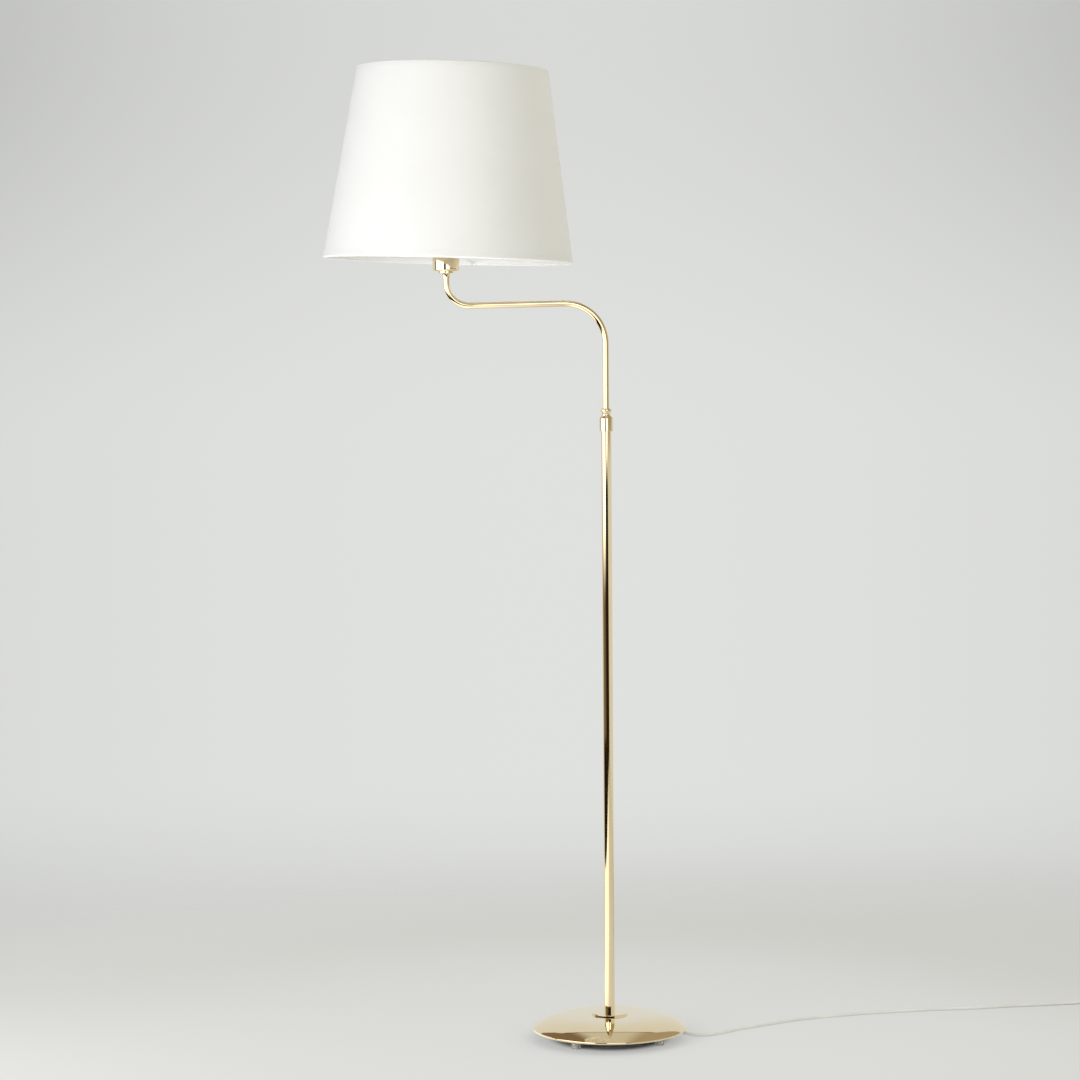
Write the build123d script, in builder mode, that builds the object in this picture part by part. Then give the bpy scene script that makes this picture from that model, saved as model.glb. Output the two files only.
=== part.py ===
"""Brass floor lamp with a sliding, swinging arm and a tapered fabric shade.

Millimetres, +Z up. The origin is on the floor under the stem's axis, in the middle of the four feet. The arm
points along -X.
"""

import math
import os

from build123d import *

# Clearances and the overrun of all cuts
running_clearance = 0.05
seat_clearance = 0.02
loose_clearance = 0.3
axial_play = 0.1
cut_overrun = 2.0

# Base: spun dome, weight, underside and feet
base_r = 120.0
shell_wall = 1.2
rim_bead_r = 2.0
edge_z = 18.2
crown_z = 37.8
dome_power = 5.5
dome_steps = 10
disc_r = 28.0
disc_thickness = 2.5
disc_edge_fillet = 0.7
seat_margin = 1.0
plate_z = 16.5
plate_thickness = 1.5
plate_margin = 10.0
plate_hole_r = 8.0
weight_margin = 16.0
weight_gap = 0.4
weight_seat_r = 27.0
weight_recess_r = 22.0
weight_recess_depth = 12.0
foot_r = 7.0
foot_inset = 28.0
foot_angle = 54.5
foot_count = 4
foot_edge_fillet = 1.5
foot_pocket_r = 3.8
foot_pocket_depth = 9.0
foot_screw_r = 1.95
foot_screw_grip = 8.0
foot_head_r = 3.4
foot_head_height = 2.6
screw_hole_clearance = 0.2

# Stem and what pulls it down onto the base
stem_r = 8.0
stem_wall = 1.0
stem_top_z = 947.0
nipple_r = 5.0
nipple_bore_r = 3.6
nipple_tail = 1.5
nut_height = 6.5
nut_flats = 17.0
washer_r = 14.0
washer_thickness = 2.0
foot_plug_length = 25.0
nipple_grip = 20.0
wire_r = 2.2
stem_wire_margin = 10.0

# Collar, collet and clamp nut
collar_r = 10.75
collar_z = 940.3
collar_shoulder_z = 960.1
collar_top_z = 963.8
collar_top_r = 7.7
collar_edge = 0.6
collet_height = 7.0
collet_r = 7.85
collet_cone = 1.2
collet_slit = 1.0
spigot_r = 6.3
nut_foot_r = 7.4
nut_waist_r = 6.75
nut_waist_rise = 3.0
nut_flare_r = 9.35
nut_flare_rise = 9.2
nut_band = 1.0
nut_rise = 11.6
nut_crown_r = 6.4

# Arm tube, its guide in the stem and its travel
arm_r = 5.0
arm_wall = 1.0
arm_reach = 243.0
run_z = 1137.3
run_drop = 4.0
stem_elbow_r = 62.0
holder_elbow_r = 35.0
travel_up = 200.0
travel_down = 90.0
bush_length = 30.0
bush_ring_height = 3.0
end_stop_height = 6.0
guide_ring_r = 6.6

# Lampholder
neck_z = 1176.0
neck_foot_r = 5.6
neck_r = 6.65
neck_rise = 7.2
flange_r = 12.25
flange_thickness = 3.0
flange_fillet = 0.8
grub_r = 1.2
grub_drop = 1.9
grub_angle = -70.0
grub_proud = 0.25
cup_r = 20.75
cup_wall = 0.9
cup_height = 40.0
cup_fillet = 3.0
holder_washer_r = 9.0
holder_washer_thickness = 1.0
locknut_height = 4.0
locknut_flats = 14.0
tube_proud = 1.0
porcelain_gap = 0.35
porcelain_height = 27.0
porcelain_pocket_r = 6.5
porcelain_pocket_depth = 6.0
porcelain_neck_r = 16.6
porcelain_neck_height = 17.0
shell_floor = 5.0
shell_r = 14.25
shell_bore_r = 13.5
shell_height = 28.0
contact_half_width = 8.0
contact_rise = 3.0
contact_thickness = 0.6
contact_depth = 5.0
terminal_place = 11.0
terminal_head_r = 2.8
terminal_head_height = 2.0
terminal_shank_r = 1.5
terminal_shank_length = 8.0
terminal_pocket_depth = 4.0
sleeve_gap = 0.1
sleeve_wall = 2.95
sleeve_height = 39.0

# Turn switch on the lampholder
switch_rise = 26.8
spindle_r = 2.5
spindle_seat = 10.0
knob_r = 5.5
knob_length = 11.0
knob_gap = 1.4
knob_fillet = 1.2
knob_groove = 0.6
knob_groove_count = 12
knob_wall = 2.5

# Shade and its wire carrier
fitter_z = 1238.0
fitter_thickness = 2.0
fitter_r = 30.0
fitter_clearance = 0.4
shade_ring_r = 28.0
shade_ring_height = 5.0
shade_ring_notch_r = 1.2
shade_ring_notch_count = 16
shade_lean = 1.9
shade_offset = 4.3
shade_drop = 36.5
shade_height = 292.6
shade_bottom_r = 191.0
shade_top_r = 145.5
shade_wall = 1.0
hoop_r = 1.6
hoop_gap = 0.1
hoop_inset = 2.4
spider_r = 1.5
spider_angle = 80.0
spider_count = 3
weld_gap = 0.1

# Bulb
bulb_cap_r = 13.3
bulb_cap_wall = 0.5
bulb_cap_height = 20.0
bulb_tip_r = 4.0
bulb_tip_height = 2.0
bulb_cone_height = 4.0
bulb_floor = 1.0
bulb_neck_r = 12.4
bulb_neck_in_cap = 13.0
bulb_neck_above_cap = 5.0
bulb_r = 30.0
bulb_blend_r = 40.0
bulb_wall = 0.8

# Cord outlet under the base and the cord's strain relief
outlet_back = 16.0
outlet_front = 46.0
outlet_half_width = 14.0
outlet_height = 10.5
outlet_fillet = 2.0
outlet_bore_depth = 6.0
outlet_screw_inset = 8.0
outlet_screw_r = 1.45
outlet_screw_grip = 8.0
outlet_head_r = 2.7
outlet_head_height = 2.0
relief_length = 40.0
relief_r = 5.0
relief_tip_r = 3.3
relief_z = 11.0

# Cord, its coil, tie and plug
cord_r = 2.5
coil_x = 846.0
coil_y = 198.0
coil_inner_r = 20.0
coil_turns = 3.125
coil_step = 5.6
coil_spans_per_turn = 4
climb_share = 0.25
corner_share = 0.45
tie_thickness = 0.8
tie_gap = 0.5
tie_width = 6.0
tail_run = 26.0
tail_shift = 2.0
plug_length = 36.0
plug_half_width = 17.5
plug_rear_half_width = 8.0
plug_waist_share = 0.45
plug_half_thickness = 6.85
plug_fillet = 2.6
plug_relief_length = 20.0
plug_relief_r = 4.6
plug_relief_tip_r = 3.2
pin_r = 2.0
pin_length = 19.0
pin_spacing = 18.6
pin_tip_fillet = 1.0

# Route of the cord on the floor, from the strain relief to the coil; places chosen from the photograph
cord_route = [
    (101.0, 0.0, 11.0),
    (123.0, -2.0, 5.0),
    (149.0, 3.0, 2.5),
    (176.0, 21.0, 2.5),
    (204.0, 49.0, 2.5),
    (246.0, 76.0, 2.5),
    (300.0, 114.0, 2.5),
    (351.0, 135.0, 2.5),
    (410.0, 155.0, 2.5),
    (469.0, 169.0, 2.5),
    (528.0, 182.0, 2.5),
    (588.0, 188.0, 2.5),
    (649.0, 203.0, 2.5),
    (708.0, 212.0, 2.5),
    (764.0, 224.0, 2.5),
]

# Heights and radii that follow from the sizes above
crown_rise = crown_z - edge_z
rim_slope = dome_power * crown_rise / base_r
rim_r = base_r - rim_bead_r * (1 - math.sin(math.atan(rim_slope)))
seat_r = disc_r + seat_margin
seat_z = edge_z + crown_rise * (1 - (seat_r / base_r) ** dome_power)
disc_top_z = seat_z + disc_thickness
plate_r = base_r - plate_margin
weight_r = base_r - weight_margin
foot_circle_r = base_r - foot_inset
weight_z = plate_z + plate_thickness
recess_z = weight_z + weight_recess_depth
stem_bore_r = stem_r - stem_wall
nut_top_z = recess_z - washer_thickness
nipple_z = nut_top_z - nut_height - nipple_tail
nipple_top_z = disc_top_z + nipple_grip

collet_top_z = stem_top_z + collet_height
nut_z = collar_top_z + axial_play
spigot_z = collet_top_z + axial_play
arm_passage_r = arm_r + loose_clearance
guide_bore_r = arm_r + running_clearance
tube_hole_r = arm_r + seat_clearance

bush_ring_top_z = stem_top_z - travel_up - axial_play
bush_ring_z = bush_ring_top_z - bush_ring_height
bush_top_z = bush_ring_z - axial_play
bush_z = bush_top_z - bush_length
end_stop_top_z = bush_z - axial_play
arm_end_z = end_stop_top_z - end_stop_height
wire_top_z = arm_end_z - travel_down - stem_wire_margin

flange_z = neck_z + neck_rise
cup_z = flange_z + flange_thickness
cup_floor_z = cup_z + cup_wall
cup_top_z = cup_z + cup_height
cup_bore_r = cup_r - cup_wall
locknut_z = cup_floor_z + holder_washer_thickness
porcelain_z = locknut_z + locknut_height
arm_top_z = porcelain_z + tube_proud
porcelain_r = cup_bore_r - porcelain_gap
porcelain_top_z = porcelain_z + porcelain_height
shell_z = porcelain_top_z + shell_floor
contact_top_z = shell_z + contact_rise
sleeve_r = cup_bore_r - sleeve_gap
sleeve_bore_r = sleeve_r - sleeve_wall
switch_z = cup_z + switch_rise
knob_back_y = cup_r + knob_gap
fitter_top_z = fitter_z + fitter_thickness
thread_r = sleeve_r + running_clearance

bulb_thread_z = contact_top_z + bulb_tip_height + bulb_cone_height
bulb_cap_top_z = bulb_thread_z + bulb_cap_height
bulb_neck_top_z = bulb_cap_top_z + bulb_neck_above_cap
bulb_centre_z = bulb_neck_top_z + math.sqrt((bulb_r + bulb_blend_r) ** 2 - (bulb_neck_r + bulb_blend_r) ** 2)

outlet_z = plate_z - outlet_height
relief_tip_x = outlet_front + relief_length
cord_d = 2 * cord_r
coil_outer_r = coil_inner_r + coil_turns * coil_step
coil_z = tie_thickness + tie_gap + cord_r
coil_top_z = coil_z + coil_step
tail_x = coil_x + coil_outer_r
tail_y = coil_y - cord_d
plug_x = tail_x - tail_shift
plug_z = plug_half_thickness
plug_tail_y = tail_y - 3 * tail_run
plug_rear_y = plug_tail_y - plug_relief_length
plug_face_y = plug_rear_y - plug_length

# Planes: upright ones through the stem and the lampholder, and the leaning one of the shade
holder_axis = Axis((-arm_reach, 0, 0), (0, 0, 1))
holder_section = Plane(origin=(-arm_reach, 0, 0), x_dir=(1, 0, 0), z_dir=(0, -1, 0))
lean_sin = math.sin(math.radians(shade_lean))
lean_cos = math.cos(math.radians(shade_lean))
shade_origin = (
    -arm_reach + shade_offset - shade_drop * lean_sin,
    0,
    fitter_z - shade_drop * lean_cos,
)
shade_section = Plane(origin=shade_origin, x_dir=(lean_cos, 0, -lean_sin), z_dir=(0, -1, 0))
shade_axis = Axis(shade_origin, (lean_sin, 0, lean_cos))
shade_slope = (shade_bottom_r - shade_top_r) / shade_height

arm_route = [
    (0, 0, arm_end_z),
    (0, 0, run_z),
    (-arm_reach, 0, run_z - run_drop),
    (-arm_reach, 0, arm_top_z),
]
arm_wire_route = arm_route[:3] + [(-arm_reach, 0, porcelain_z + porcelain_pocket_depth)]
arm_radii = [stem_elbow_r, holder_elbow_r]


def keep(piece, node):
    """Label a finished piece and write it under its node's name."""
    piece.part.label = node
    export_step(piece.part, f"parts/{node}.step")


def on_circle(centre, radius, first, last):
    """The point of a circle half way between two of its points, for a three-point arc."""
    way = (Vector(first) - Vector(centre)).normalized() + (Vector(last) - Vector(centre)).normalized()
    return Vector(centre) + way.normalized() * radius


def level(z, x=0.0, y=0.0):
    """A level plane at height z, by default around the stem's axis."""
    return Plane(origin=(x, y, z))


def at_holder(z):
    """A level plane at height z around the lampholder's axis."""
    return level(z, -arm_reach)


def corner_radii(points):
    """As large a radius for each corner of a route as its two runs allow."""
    radii = []
    for before, corner, after in zip(points, points[1:], points[2:]):
        run_in = Vector(corner) - Vector(before)
        run_out = Vector(after) - Vector(corner)
        turn = math.radians(run_in.get_angle(run_out))
        radii.append(corner_share * min(run_in.length, run_out.length) / math.tan(turn / 2))
    return radii


def dome_way(r):
    """Direction outwards along the dome's section at a radius."""
    return Vector(1, -rim_slope * (r / base_r) ** (dome_power - 1)).normalized()


def dome_point(r, depth=0.0):
    """Point of the dome's section at a radius, taken in from its face by a depth."""
    way = dome_way(r)
    z = edge_z + crown_rise * (1 - (r / base_r) ** dome_power)
    return (r + depth * way.Y, z - depth * way.X)


def dome_points(first_r, last_r, depth=0.0):
    """Points along the dome's section between two radii."""
    step_r = (last_r - first_r) / dome_steps
    return [dome_point(first_r + step_r * step, depth) for step in range(dome_steps + 1)]


os.makedirs("parts", exist_ok=True)

# Dome of the base, spun from sheet, with a flat seat for the disc and a rolled rim
inner_seat = dome_point(seat_r, shell_wall)
bead_centre = Vector(dome_point(rim_r, rim_bead_r))
bead_out = dome_way(rim_r) * rim_bead_r
bead_up = Vector(dome_point(rim_r)) - bead_centre
bead_mid = bead_centre + (bead_out - bead_up) / math.sqrt(2)
bead_end = bead_centre - bead_out
inner_rim_r = rim_r - 2 * rim_bead_r
nipple_hole_r = nipple_r + screw_hole_clearance
with BuildPart() as base_shell:
    with BuildSketch(Plane.XZ):
        with BuildLine():
            Line((nipple_hole_r, seat_z), (seat_r, seat_z))
            Spline(*dome_points(seat_r, rim_r))
            ThreePointArc(dome_point(rim_r), bead_mid, bead_end)
            Line(bead_end, dome_point(inner_rim_r, shell_wall))
            Spline(*dome_points(inner_rim_r, seat_r, shell_wall))
            Line(inner_seat, (nipple_hole_r, inner_seat[1]))
            Line((nipple_hole_r, inner_seat[1]), (nipple_hole_r, seat_z))
        make_face()
    revolve(axis=Axis.Z)
keep(base_shell, "base_shell")

# Cast weight: its middle bears on the dome's flat seat, the rest follows the dome at a gap
weight_top = dome_points(weight_seat_r, weight_r, shell_wall + weight_gap)
weight_step, weight_shoulder = weight_top[0], weight_top[-1]
foot_hole_r = foot_screw_r + running_clearance
outlet_screw_places = [
    (outlet_front - outlet_screw_inset, outlet_half_width - outlet_screw_inset),
    (outlet_front - outlet_screw_inset, outlet_screw_inset - outlet_half_width),
]
with BuildPart() as base_weight:
    with BuildSketch(Plane.XZ):
        with BuildLine():
            Polyline(
                (nipple_hole_r, recess_z),
                (nipple_hole_r, inner_seat[1]),
                (weight_step[0], inner_seat[1]),
                weight_step,
            )
            Spline(*weight_top)
            Polyline(
                weight_shoulder,
                (weight_shoulder[0], weight_z),
                (weight_recess_r, weight_z),
                (weight_recess_r, recess_z),
                (nipple_hole_r, recess_z),
            )
        make_face()
    revolve(axis=Axis.Z)
    with BuildSketch(level(weight_z)):
        with PolarLocations(foot_circle_r, foot_count, start_angle=foot_angle):
            Circle(foot_hole_r)
        with Locations(*outlet_screw_places):
            Circle(outlet_screw_r + running_clearance)
    extrude(amount=foot_screw_grip + axial_play, mode=Mode.SUBTRACT)
keep(base_weight, "base_weight")

# Dark plate that closes the underside
with BuildPart() as base_plate:
    with BuildSketch(level(plate_z)):
        Circle(plate_r)
        Circle(plate_hole_r, mode=Mode.SUBTRACT)
        with PolarLocations(foot_circle_r, foot_count, start_angle=foot_angle):
            Circle(foot_screw_r + screw_hole_clearance, mode=Mode.SUBTRACT)
        with Locations(*outlet_screw_places):
            Circle(outlet_screw_r + screw_hole_clearance, mode=Mode.SUBTRACT)
    extrude(amount=plate_thickness)
keep(base_plate, "base_plate")

# Button feet with a screw pocket from below
with BuildPart() as feet:
    with BuildSketch(level(0)):
        with PolarLocations(foot_circle_r, foot_count, start_angle=foot_angle):
            Circle(foot_r)
    extrude(amount=plate_z)
    fillet(feet.edges().group_by(Axis.Z)[0], foot_edge_fillet)
    with BuildSketch(level(0)):
        with PolarLocations(foot_circle_r, foot_count, start_angle=foot_angle):
            Circle(foot_pocket_r)
    extrude(amount=foot_pocket_depth, mode=Mode.SUBTRACT)
    with BuildSketch(level(0)):
        with PolarLocations(foot_circle_r, foot_count, start_angle=foot_angle):
            Circle(foot_screw_r + screw_hole_clearance)
    extrude(amount=plate_z, mode=Mode.SUBTRACT)
keep(feet, "feet")

with BuildPart() as feet_screws:
    with BuildSketch(level(foot_pocket_depth - foot_head_height)):
        with PolarLocations(foot_circle_r, foot_count, start_angle=foot_angle):
            Circle(foot_head_r)
    extrude(amount=foot_head_height)
    with BuildSketch(level(foot_pocket_depth)):
        with PolarLocations(foot_circle_r, foot_count, start_angle=foot_angle):
            Circle(foot_screw_r)
    extrude(amount=weight_z + foot_screw_grip - foot_pocket_depth)
keep(feet_screws, "feet_screws")

# Raised disc on the dome
with BuildPart() as base_disc:
    with BuildSketch(level(seat_z)):
        Circle(disc_r)
    extrude(amount=disc_thickness)
    fillet(base_disc.edges().group_by(Axis.Z)[-1], disc_edge_fillet)
    with BuildSketch(level(seat_z)):
        Circle(nipple_hole_r)
    extrude(amount=disc_thickness, mode=Mode.SUBTRACT)
keep(base_disc, "base_disc")

# Hollow threaded nipple with its washer and nut
with BuildPart() as stem_nipple:
    with BuildSketch(level(nipple_z)):
        Circle(nipple_r)
        Circle(nipple_bore_r, mode=Mode.SUBTRACT)
    extrude(amount=nipple_top_z - nipple_z)
keep(stem_nipple, "stem_nipple")

with BuildPart() as base_washer:
    with BuildSketch(level(nut_top_z)):
        Circle(washer_r)
        Circle(nipple_hole_r, mode=Mode.SUBTRACT)
    extrude(amount=washer_thickness)
keep(base_washer, "base_washer")

with BuildPart() as base_nut:
    with BuildSketch(level(nut_top_z - nut_height)):
        RegularPolygon(nut_flats / 2, 6, major_radius=False)
        Circle(nipple_r + seat_clearance, mode=Mode.SUBTRACT)
    extrude(amount=nut_height)
keep(base_nut, "base_nut")

# Stem and the threaded plug in its foot
with BuildPart() as stem_tube:
    with BuildSketch(level(disc_top_z)):
        Circle(stem_r)
        Circle(stem_bore_r, mode=Mode.SUBTRACT)
    extrude(amount=stem_top_z - disc_top_z)
keep(stem_tube, "stem_tube")

with BuildPart() as stem_foot_plug:
    with BuildSketch(level(disc_top_z)):
        Circle(stem_bore_r - seat_clearance)
        Circle(nipple_r + seat_clearance, mode=Mode.SUBTRACT)
    extrude(amount=foot_plug_length)
keep(stem_foot_plug, "stem_foot_plug")

# Cord outlet under the plate, its screws and the strain relief
with BuildPart() as cord_outlet:
    with BuildSketch(level(outlet_z)):
        with Locations(((outlet_front - outlet_back) / 2, 0)):
            Rectangle(outlet_front + outlet_back, 2 * outlet_half_width)
    extrude(amount=outlet_height)
    fillet(cord_outlet.edges().filter_by(Axis.Z), outlet_fillet)
    fillet(cord_outlet.edges().group_by(Axis.Z)[0], outlet_fillet / 2)
    with BuildSketch(level(plate_z)):
        Circle(wire_r + seat_clearance)
    extrude(amount=-outlet_bore_depth, mode=Mode.SUBTRACT)
    with BuildSketch(level(outlet_z)):
        with Locations(*outlet_screw_places):
            Circle(outlet_head_r + screw_hole_clearance)
    extrude(amount=outlet_head_height, mode=Mode.SUBTRACT)
    with BuildSketch(level(outlet_z)):
        with Locations(*outlet_screw_places):
            Circle(outlet_screw_r + screw_hole_clearance)
    extrude(amount=outlet_height, mode=Mode.SUBTRACT)
keep(cord_outlet, "cord_outlet")

with BuildPart() as outlet_screws:
    with BuildSketch(level(outlet_z)):
        with Locations(*outlet_screw_places):
            Circle(outlet_head_r)
    extrude(amount=outlet_head_height)
    with BuildSketch(level(outlet_z + outlet_head_height)):
        with Locations(*outlet_screw_places):
            Circle(outlet_screw_r)
    extrude(amount=outlet_height - outlet_head_height + plate_thickness + outlet_screw_grip)
keep(outlet_screws, "outlet_screws")

with BuildPart() as cord_strain_relief:
    with BuildSketch(Plane.YZ.offset(outlet_front)):
        with Locations((0, relief_z)):
            Circle(relief_r)
    with BuildSketch(Plane.YZ.offset(relief_tip_x)):
        with Locations((0, relief_z)):
            Circle(relief_tip_r)
    loft()
keep(cord_strain_relief, "cord_strain_relief")

# Flex inside the stem, ending below the lowest place of the arm tube
with BuildPart() as stem_wire:
    with BuildSketch(level(plate_z - outlet_bore_depth)):
        Circle(wire_r)
    extrude(amount=wire_top_z - plate_z + outlet_bore_depth)
keep(stem_wire, "stem_wire")

# Collar on the stem's top
chamber_r = collet_r + 2 * running_clearance
with BuildPart() as collar_sleeve:
    with BuildSketch(Plane.XZ):
        with BuildLine():
            Polyline(
                (stem_r + seat_clearance, collar_z),
                (collar_r - collar_edge, collar_z),
                (collar_r, collar_z + collar_edge),
                (collar_r, collar_shoulder_z),
                (collar_top_r, collar_top_z),
                (spigot_r + running_clearance, collar_top_z),
                (spigot_r + running_clearance, collet_top_z),
                (chamber_r, collet_top_z),
                (chamber_r, stem_top_z),
                (stem_r + seat_clearance, stem_top_z),
                close=True,
            )
        make_face()
    revolve(axis=Axis.Z)
keep(collar_sleeve, "collar_sleeve")

# Split ring that grips the arm tube
with BuildPart() as collet:
    with BuildSketch(level(stem_top_z)):
        Circle(collet_r)
    extrude(amount=collet_height)
    chamfer(collet.edges().group_by(Axis.Z)[-1], collet_cone)
    with BuildSketch(level(stem_top_z)):
        Circle(guide_bore_r)
        with Locations((collet_r, 0)):
            Rectangle(2 * collet_r, collet_slit)
    extrude(amount=collet_height, mode=Mode.SUBTRACT)
keep(collet, "collet")

# Waisted clamp nut with its threaded spigot
waist_z = nut_z + nut_waist_rise
flare_z = nut_z + nut_flare_rise
with BuildPart() as clamp_nut:
    with BuildSketch(Plane.XZ):
        with BuildLine():
            Polyline(
                (arm_passage_r, nut_z + nut_rise),
                (arm_passage_r, spigot_z),
                (spigot_r, spigot_z),
                (spigot_r, nut_z),
                (nut_foot_r, nut_z),
            )
            foot_point = (nut_foot_r, nut_z)
            flare_point = (nut_flare_r, flare_z - nut_band)
            ThreePointArc(foot_point, (nut_waist_r, waist_z), flare_point)
            Polyline(
                flare_point,
                (nut_flare_r, flare_z),
                (nut_crown_r, nut_z + nut_rise),
                (arm_passage_r, nut_z + nut_rise),
            )
        make_face()
    revolve(axis=Axis.Z)
keep(clamp_nut, "clamp_nut")

# Guide bush in the stem, between the two rings on the arm tube
with BuildPart() as guide_bush:
    with BuildSketch(level(bush_z)):
        Circle(stem_bore_r - running_clearance)
        Circle(guide_bore_r, mode=Mode.SUBTRACT)
    extrude(amount=bush_length)
keep(guide_bush, "guide_bush")

with BuildPart() as bush_ring:
    with BuildSketch(level(bush_ring_z)):
        Circle(guide_ring_r)
        Circle(tube_hole_r, mode=Mode.SUBTRACT)
    extrude(amount=bush_ring_height)
keep(bush_ring, "bush_ring")

with BuildPart() as tube_end_stop:
    with BuildSketch(level(arm_end_z)):
        Circle(guide_ring_r)
        Circle(tube_hole_r, mode=Mode.SUBTRACT)
    extrude(amount=end_stop_height)
keep(tube_end_stop, "tube_end_stop")

# Bent arm tube and the flex in it
with BuildPart() as arm_tube:
    with BuildLine():
        FilletPolyline(*arm_route, radius=arm_radii)
    with BuildSketch(level(arm_end_z)):
        Circle(arm_r)
        Circle(arm_r - arm_wall, mode=Mode.SUBTRACT)
    sweep()
keep(arm_tube, "arm_tube")

with BuildPart() as arm_wire:
    with BuildLine():
        FilletPolyline(*arm_wire_route, radius=arm_radii)
    with BuildSketch(level(arm_end_z)):
        Circle(wire_r)
    sweep()
keep(arm_wire, "arm_wire")

# Trumpet with its flange under the lampholder, and its grub screw
grub_z = flange_z - grub_drop
grub_way = (math.cos(math.radians(grub_angle)), math.sin(math.radians(grub_angle)), 0)
grub_plane = Plane(origin=(-arm_reach, 0, grub_z), x_dir=(0, 0, 1), z_dir=grub_way)
with BuildPart() as neck_collar:
    with BuildSketch(holder_section):
        with BuildLine():
            Line((tube_hole_r, neck_z), (neck_foot_r, neck_z))
            neck_mid = (neck_foot_r + (neck_r - neck_foot_r) / 4, neck_z + neck_rise / 2)
            ThreePointArc((neck_foot_r, neck_z), neck_mid, (neck_r, flange_z))
            Polyline(
                (neck_r, flange_z),
                (flange_r - flange_fillet, flange_z),
                (flange_r, flange_z + flange_fillet),
                (flange_r, cup_z),
                (tube_hole_r, cup_z),
                (tube_hole_r, neck_z),
            )
        make_face()
    revolve(axis=holder_axis)
    with BuildSketch(grub_plane):
        Circle(grub_r + seat_clearance)
    extrude(amount=flange_r, mode=Mode.SUBTRACT)
keep(neck_collar, "neck_collar")

with BuildPart() as neck_grub_screw:
    with BuildSketch(grub_plane.offset(arm_r + seat_clearance)):
        Circle(grub_r)
    extrude(amount=neck_r - arm_r + grub_proud)
keep(neck_grub_screw, "neck_grub_screw")

# Lampholder cup with a hole for the switch spindle, and what clamps it to the tube
switch_plane = Plane(origin=(-arm_reach, 0, switch_z), x_dir=(1, 0, 0), z_dir=(0, -1, 0))
with BuildPart() as holder_cup:
    with BuildSketch(at_holder(cup_z)):
        Circle(cup_r)
    extrude(amount=cup_height)
    fillet(holder_cup.edges().group_by(Axis.Z)[0], cup_fillet)
    offset(amount=-cup_wall, openings=holder_cup.faces().sort_by(Axis.Z)[-1])
    with BuildSketch(at_holder(cup_z)):
        Circle(tube_hole_r + screw_hole_clearance)
    extrude(amount=cup_fillet, mode=Mode.SUBTRACT)
    with BuildSketch(switch_plane):
        Circle(spindle_r + loose_clearance)
    extrude(amount=cup_r + cut_overrun, mode=Mode.SUBTRACT)
keep(holder_cup, "holder_cup")

with BuildPart() as holder_washer:
    with BuildSketch(at_holder(cup_floor_z)):
        Circle(holder_washer_r)
        Circle(tube_hole_r + screw_hole_clearance, mode=Mode.SUBTRACT)
    extrude(amount=holder_washer_thickness)
keep(holder_washer, "holder_washer")

with BuildPart() as holder_locknut:
    with BuildSketch(at_holder(locknut_z)):
        RegularPolygon(locknut_flats / 2, 6, major_radius=False)
        Circle(tube_hole_r, mode=Mode.SUBTRACT)
    extrude(amount=locknut_height)
keep(holder_locknut, "holder_locknut")

# Porcelain insert: terminals below, switch seat at the side, lamp shell above
terminal_places = [(-terminal_place, 0), (terminal_place, 0)]
with BuildPart() as holder_body:
    with BuildSketch(at_holder(porcelain_z)):
        Circle(porcelain_r)
    extrude(amount=porcelain_height)
    with BuildSketch(at_holder(porcelain_top_z)):
        Circle(porcelain_neck_r)
    extrude(amount=porcelain_neck_height)
    with BuildSketch(at_holder(shell_z)):
        Circle(shell_r + seat_clearance)
    extrude(amount=porcelain_neck_height, mode=Mode.SUBTRACT)
    with BuildSketch(at_holder(porcelain_z)):
        Circle(porcelain_pocket_r)
    extrude(amount=porcelain_pocket_depth, mode=Mode.SUBTRACT)
    with BuildSketch(at_holder(porcelain_z)):
        with Locations(*terminal_places):
            Circle(terminal_head_r + screw_hole_clearance)
    extrude(amount=terminal_pocket_depth, mode=Mode.SUBTRACT)
    with BuildSketch(at_holder(porcelain_z)):
        with Locations(*terminal_places):
            Circle(terminal_shank_r + seat_clearance)
    extrude(amount=terminal_pocket_depth + terminal_shank_length + axial_play, mode=Mode.SUBTRACT)
    with BuildSketch(switch_plane.offset(porcelain_r - spindle_seat - axial_play)):
        Circle(spindle_r + running_clearance)
    extrude(amount=spindle_seat + cut_overrun, mode=Mode.SUBTRACT)
keep(holder_body, "holder_body")

with BuildPart() as terminal_screws:
    with BuildSketch(at_holder(porcelain_z + terminal_pocket_depth - terminal_head_height)):
        with Locations(*terminal_places):
            Circle(terminal_head_r)
    extrude(amount=terminal_head_height)
    with BuildSketch(at_holder(porcelain_z + terminal_pocket_depth)):
        with Locations(*terminal_places):
            Circle(terminal_shank_r)
    extrude(amount=terminal_shank_length)
keep(terminal_screws, "terminal_screws")

with BuildPart() as holder_shell:
    with BuildSketch(at_holder(shell_z)):
        Circle(shell_r)
        Circle(shell_bore_r, mode=Mode.SUBTRACT)
    extrude(amount=shell_height)
keep(holder_shell, "holder_shell")

# Sprung contact: an arched strip on the porcelain's floor
inner_half_width = contact_half_width - contact_thickness
with BuildPart() as centre_contact:
    with BuildSketch(holder_section.offset(-contact_depth / 2)):
        with BuildLine():
            ThreePointArc((-contact_half_width, shell_z), (0, contact_top_z), (contact_half_width, shell_z))
            Line((contact_half_width, shell_z), (inner_half_width, shell_z))
            crest = (0, contact_top_z - contact_thickness)
            ThreePointArc((inner_half_width, shell_z), crest, (-inner_half_width, shell_z))
            Line((-inner_half_width, shell_z), (-contact_half_width, shell_z))
        make_face()
    extrude(amount=contact_depth)
keep(centre_contact, "centre_contact")

with BuildPart() as holder_sleeve:
    with BuildSketch(at_holder(porcelain_top_z)):
        Circle(sleeve_r)
        Circle(sleeve_bore_r, mode=Mode.SUBTRACT)
    extrude(amount=sleeve_height)
keep(holder_sleeve, "holder_sleeve")

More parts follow.
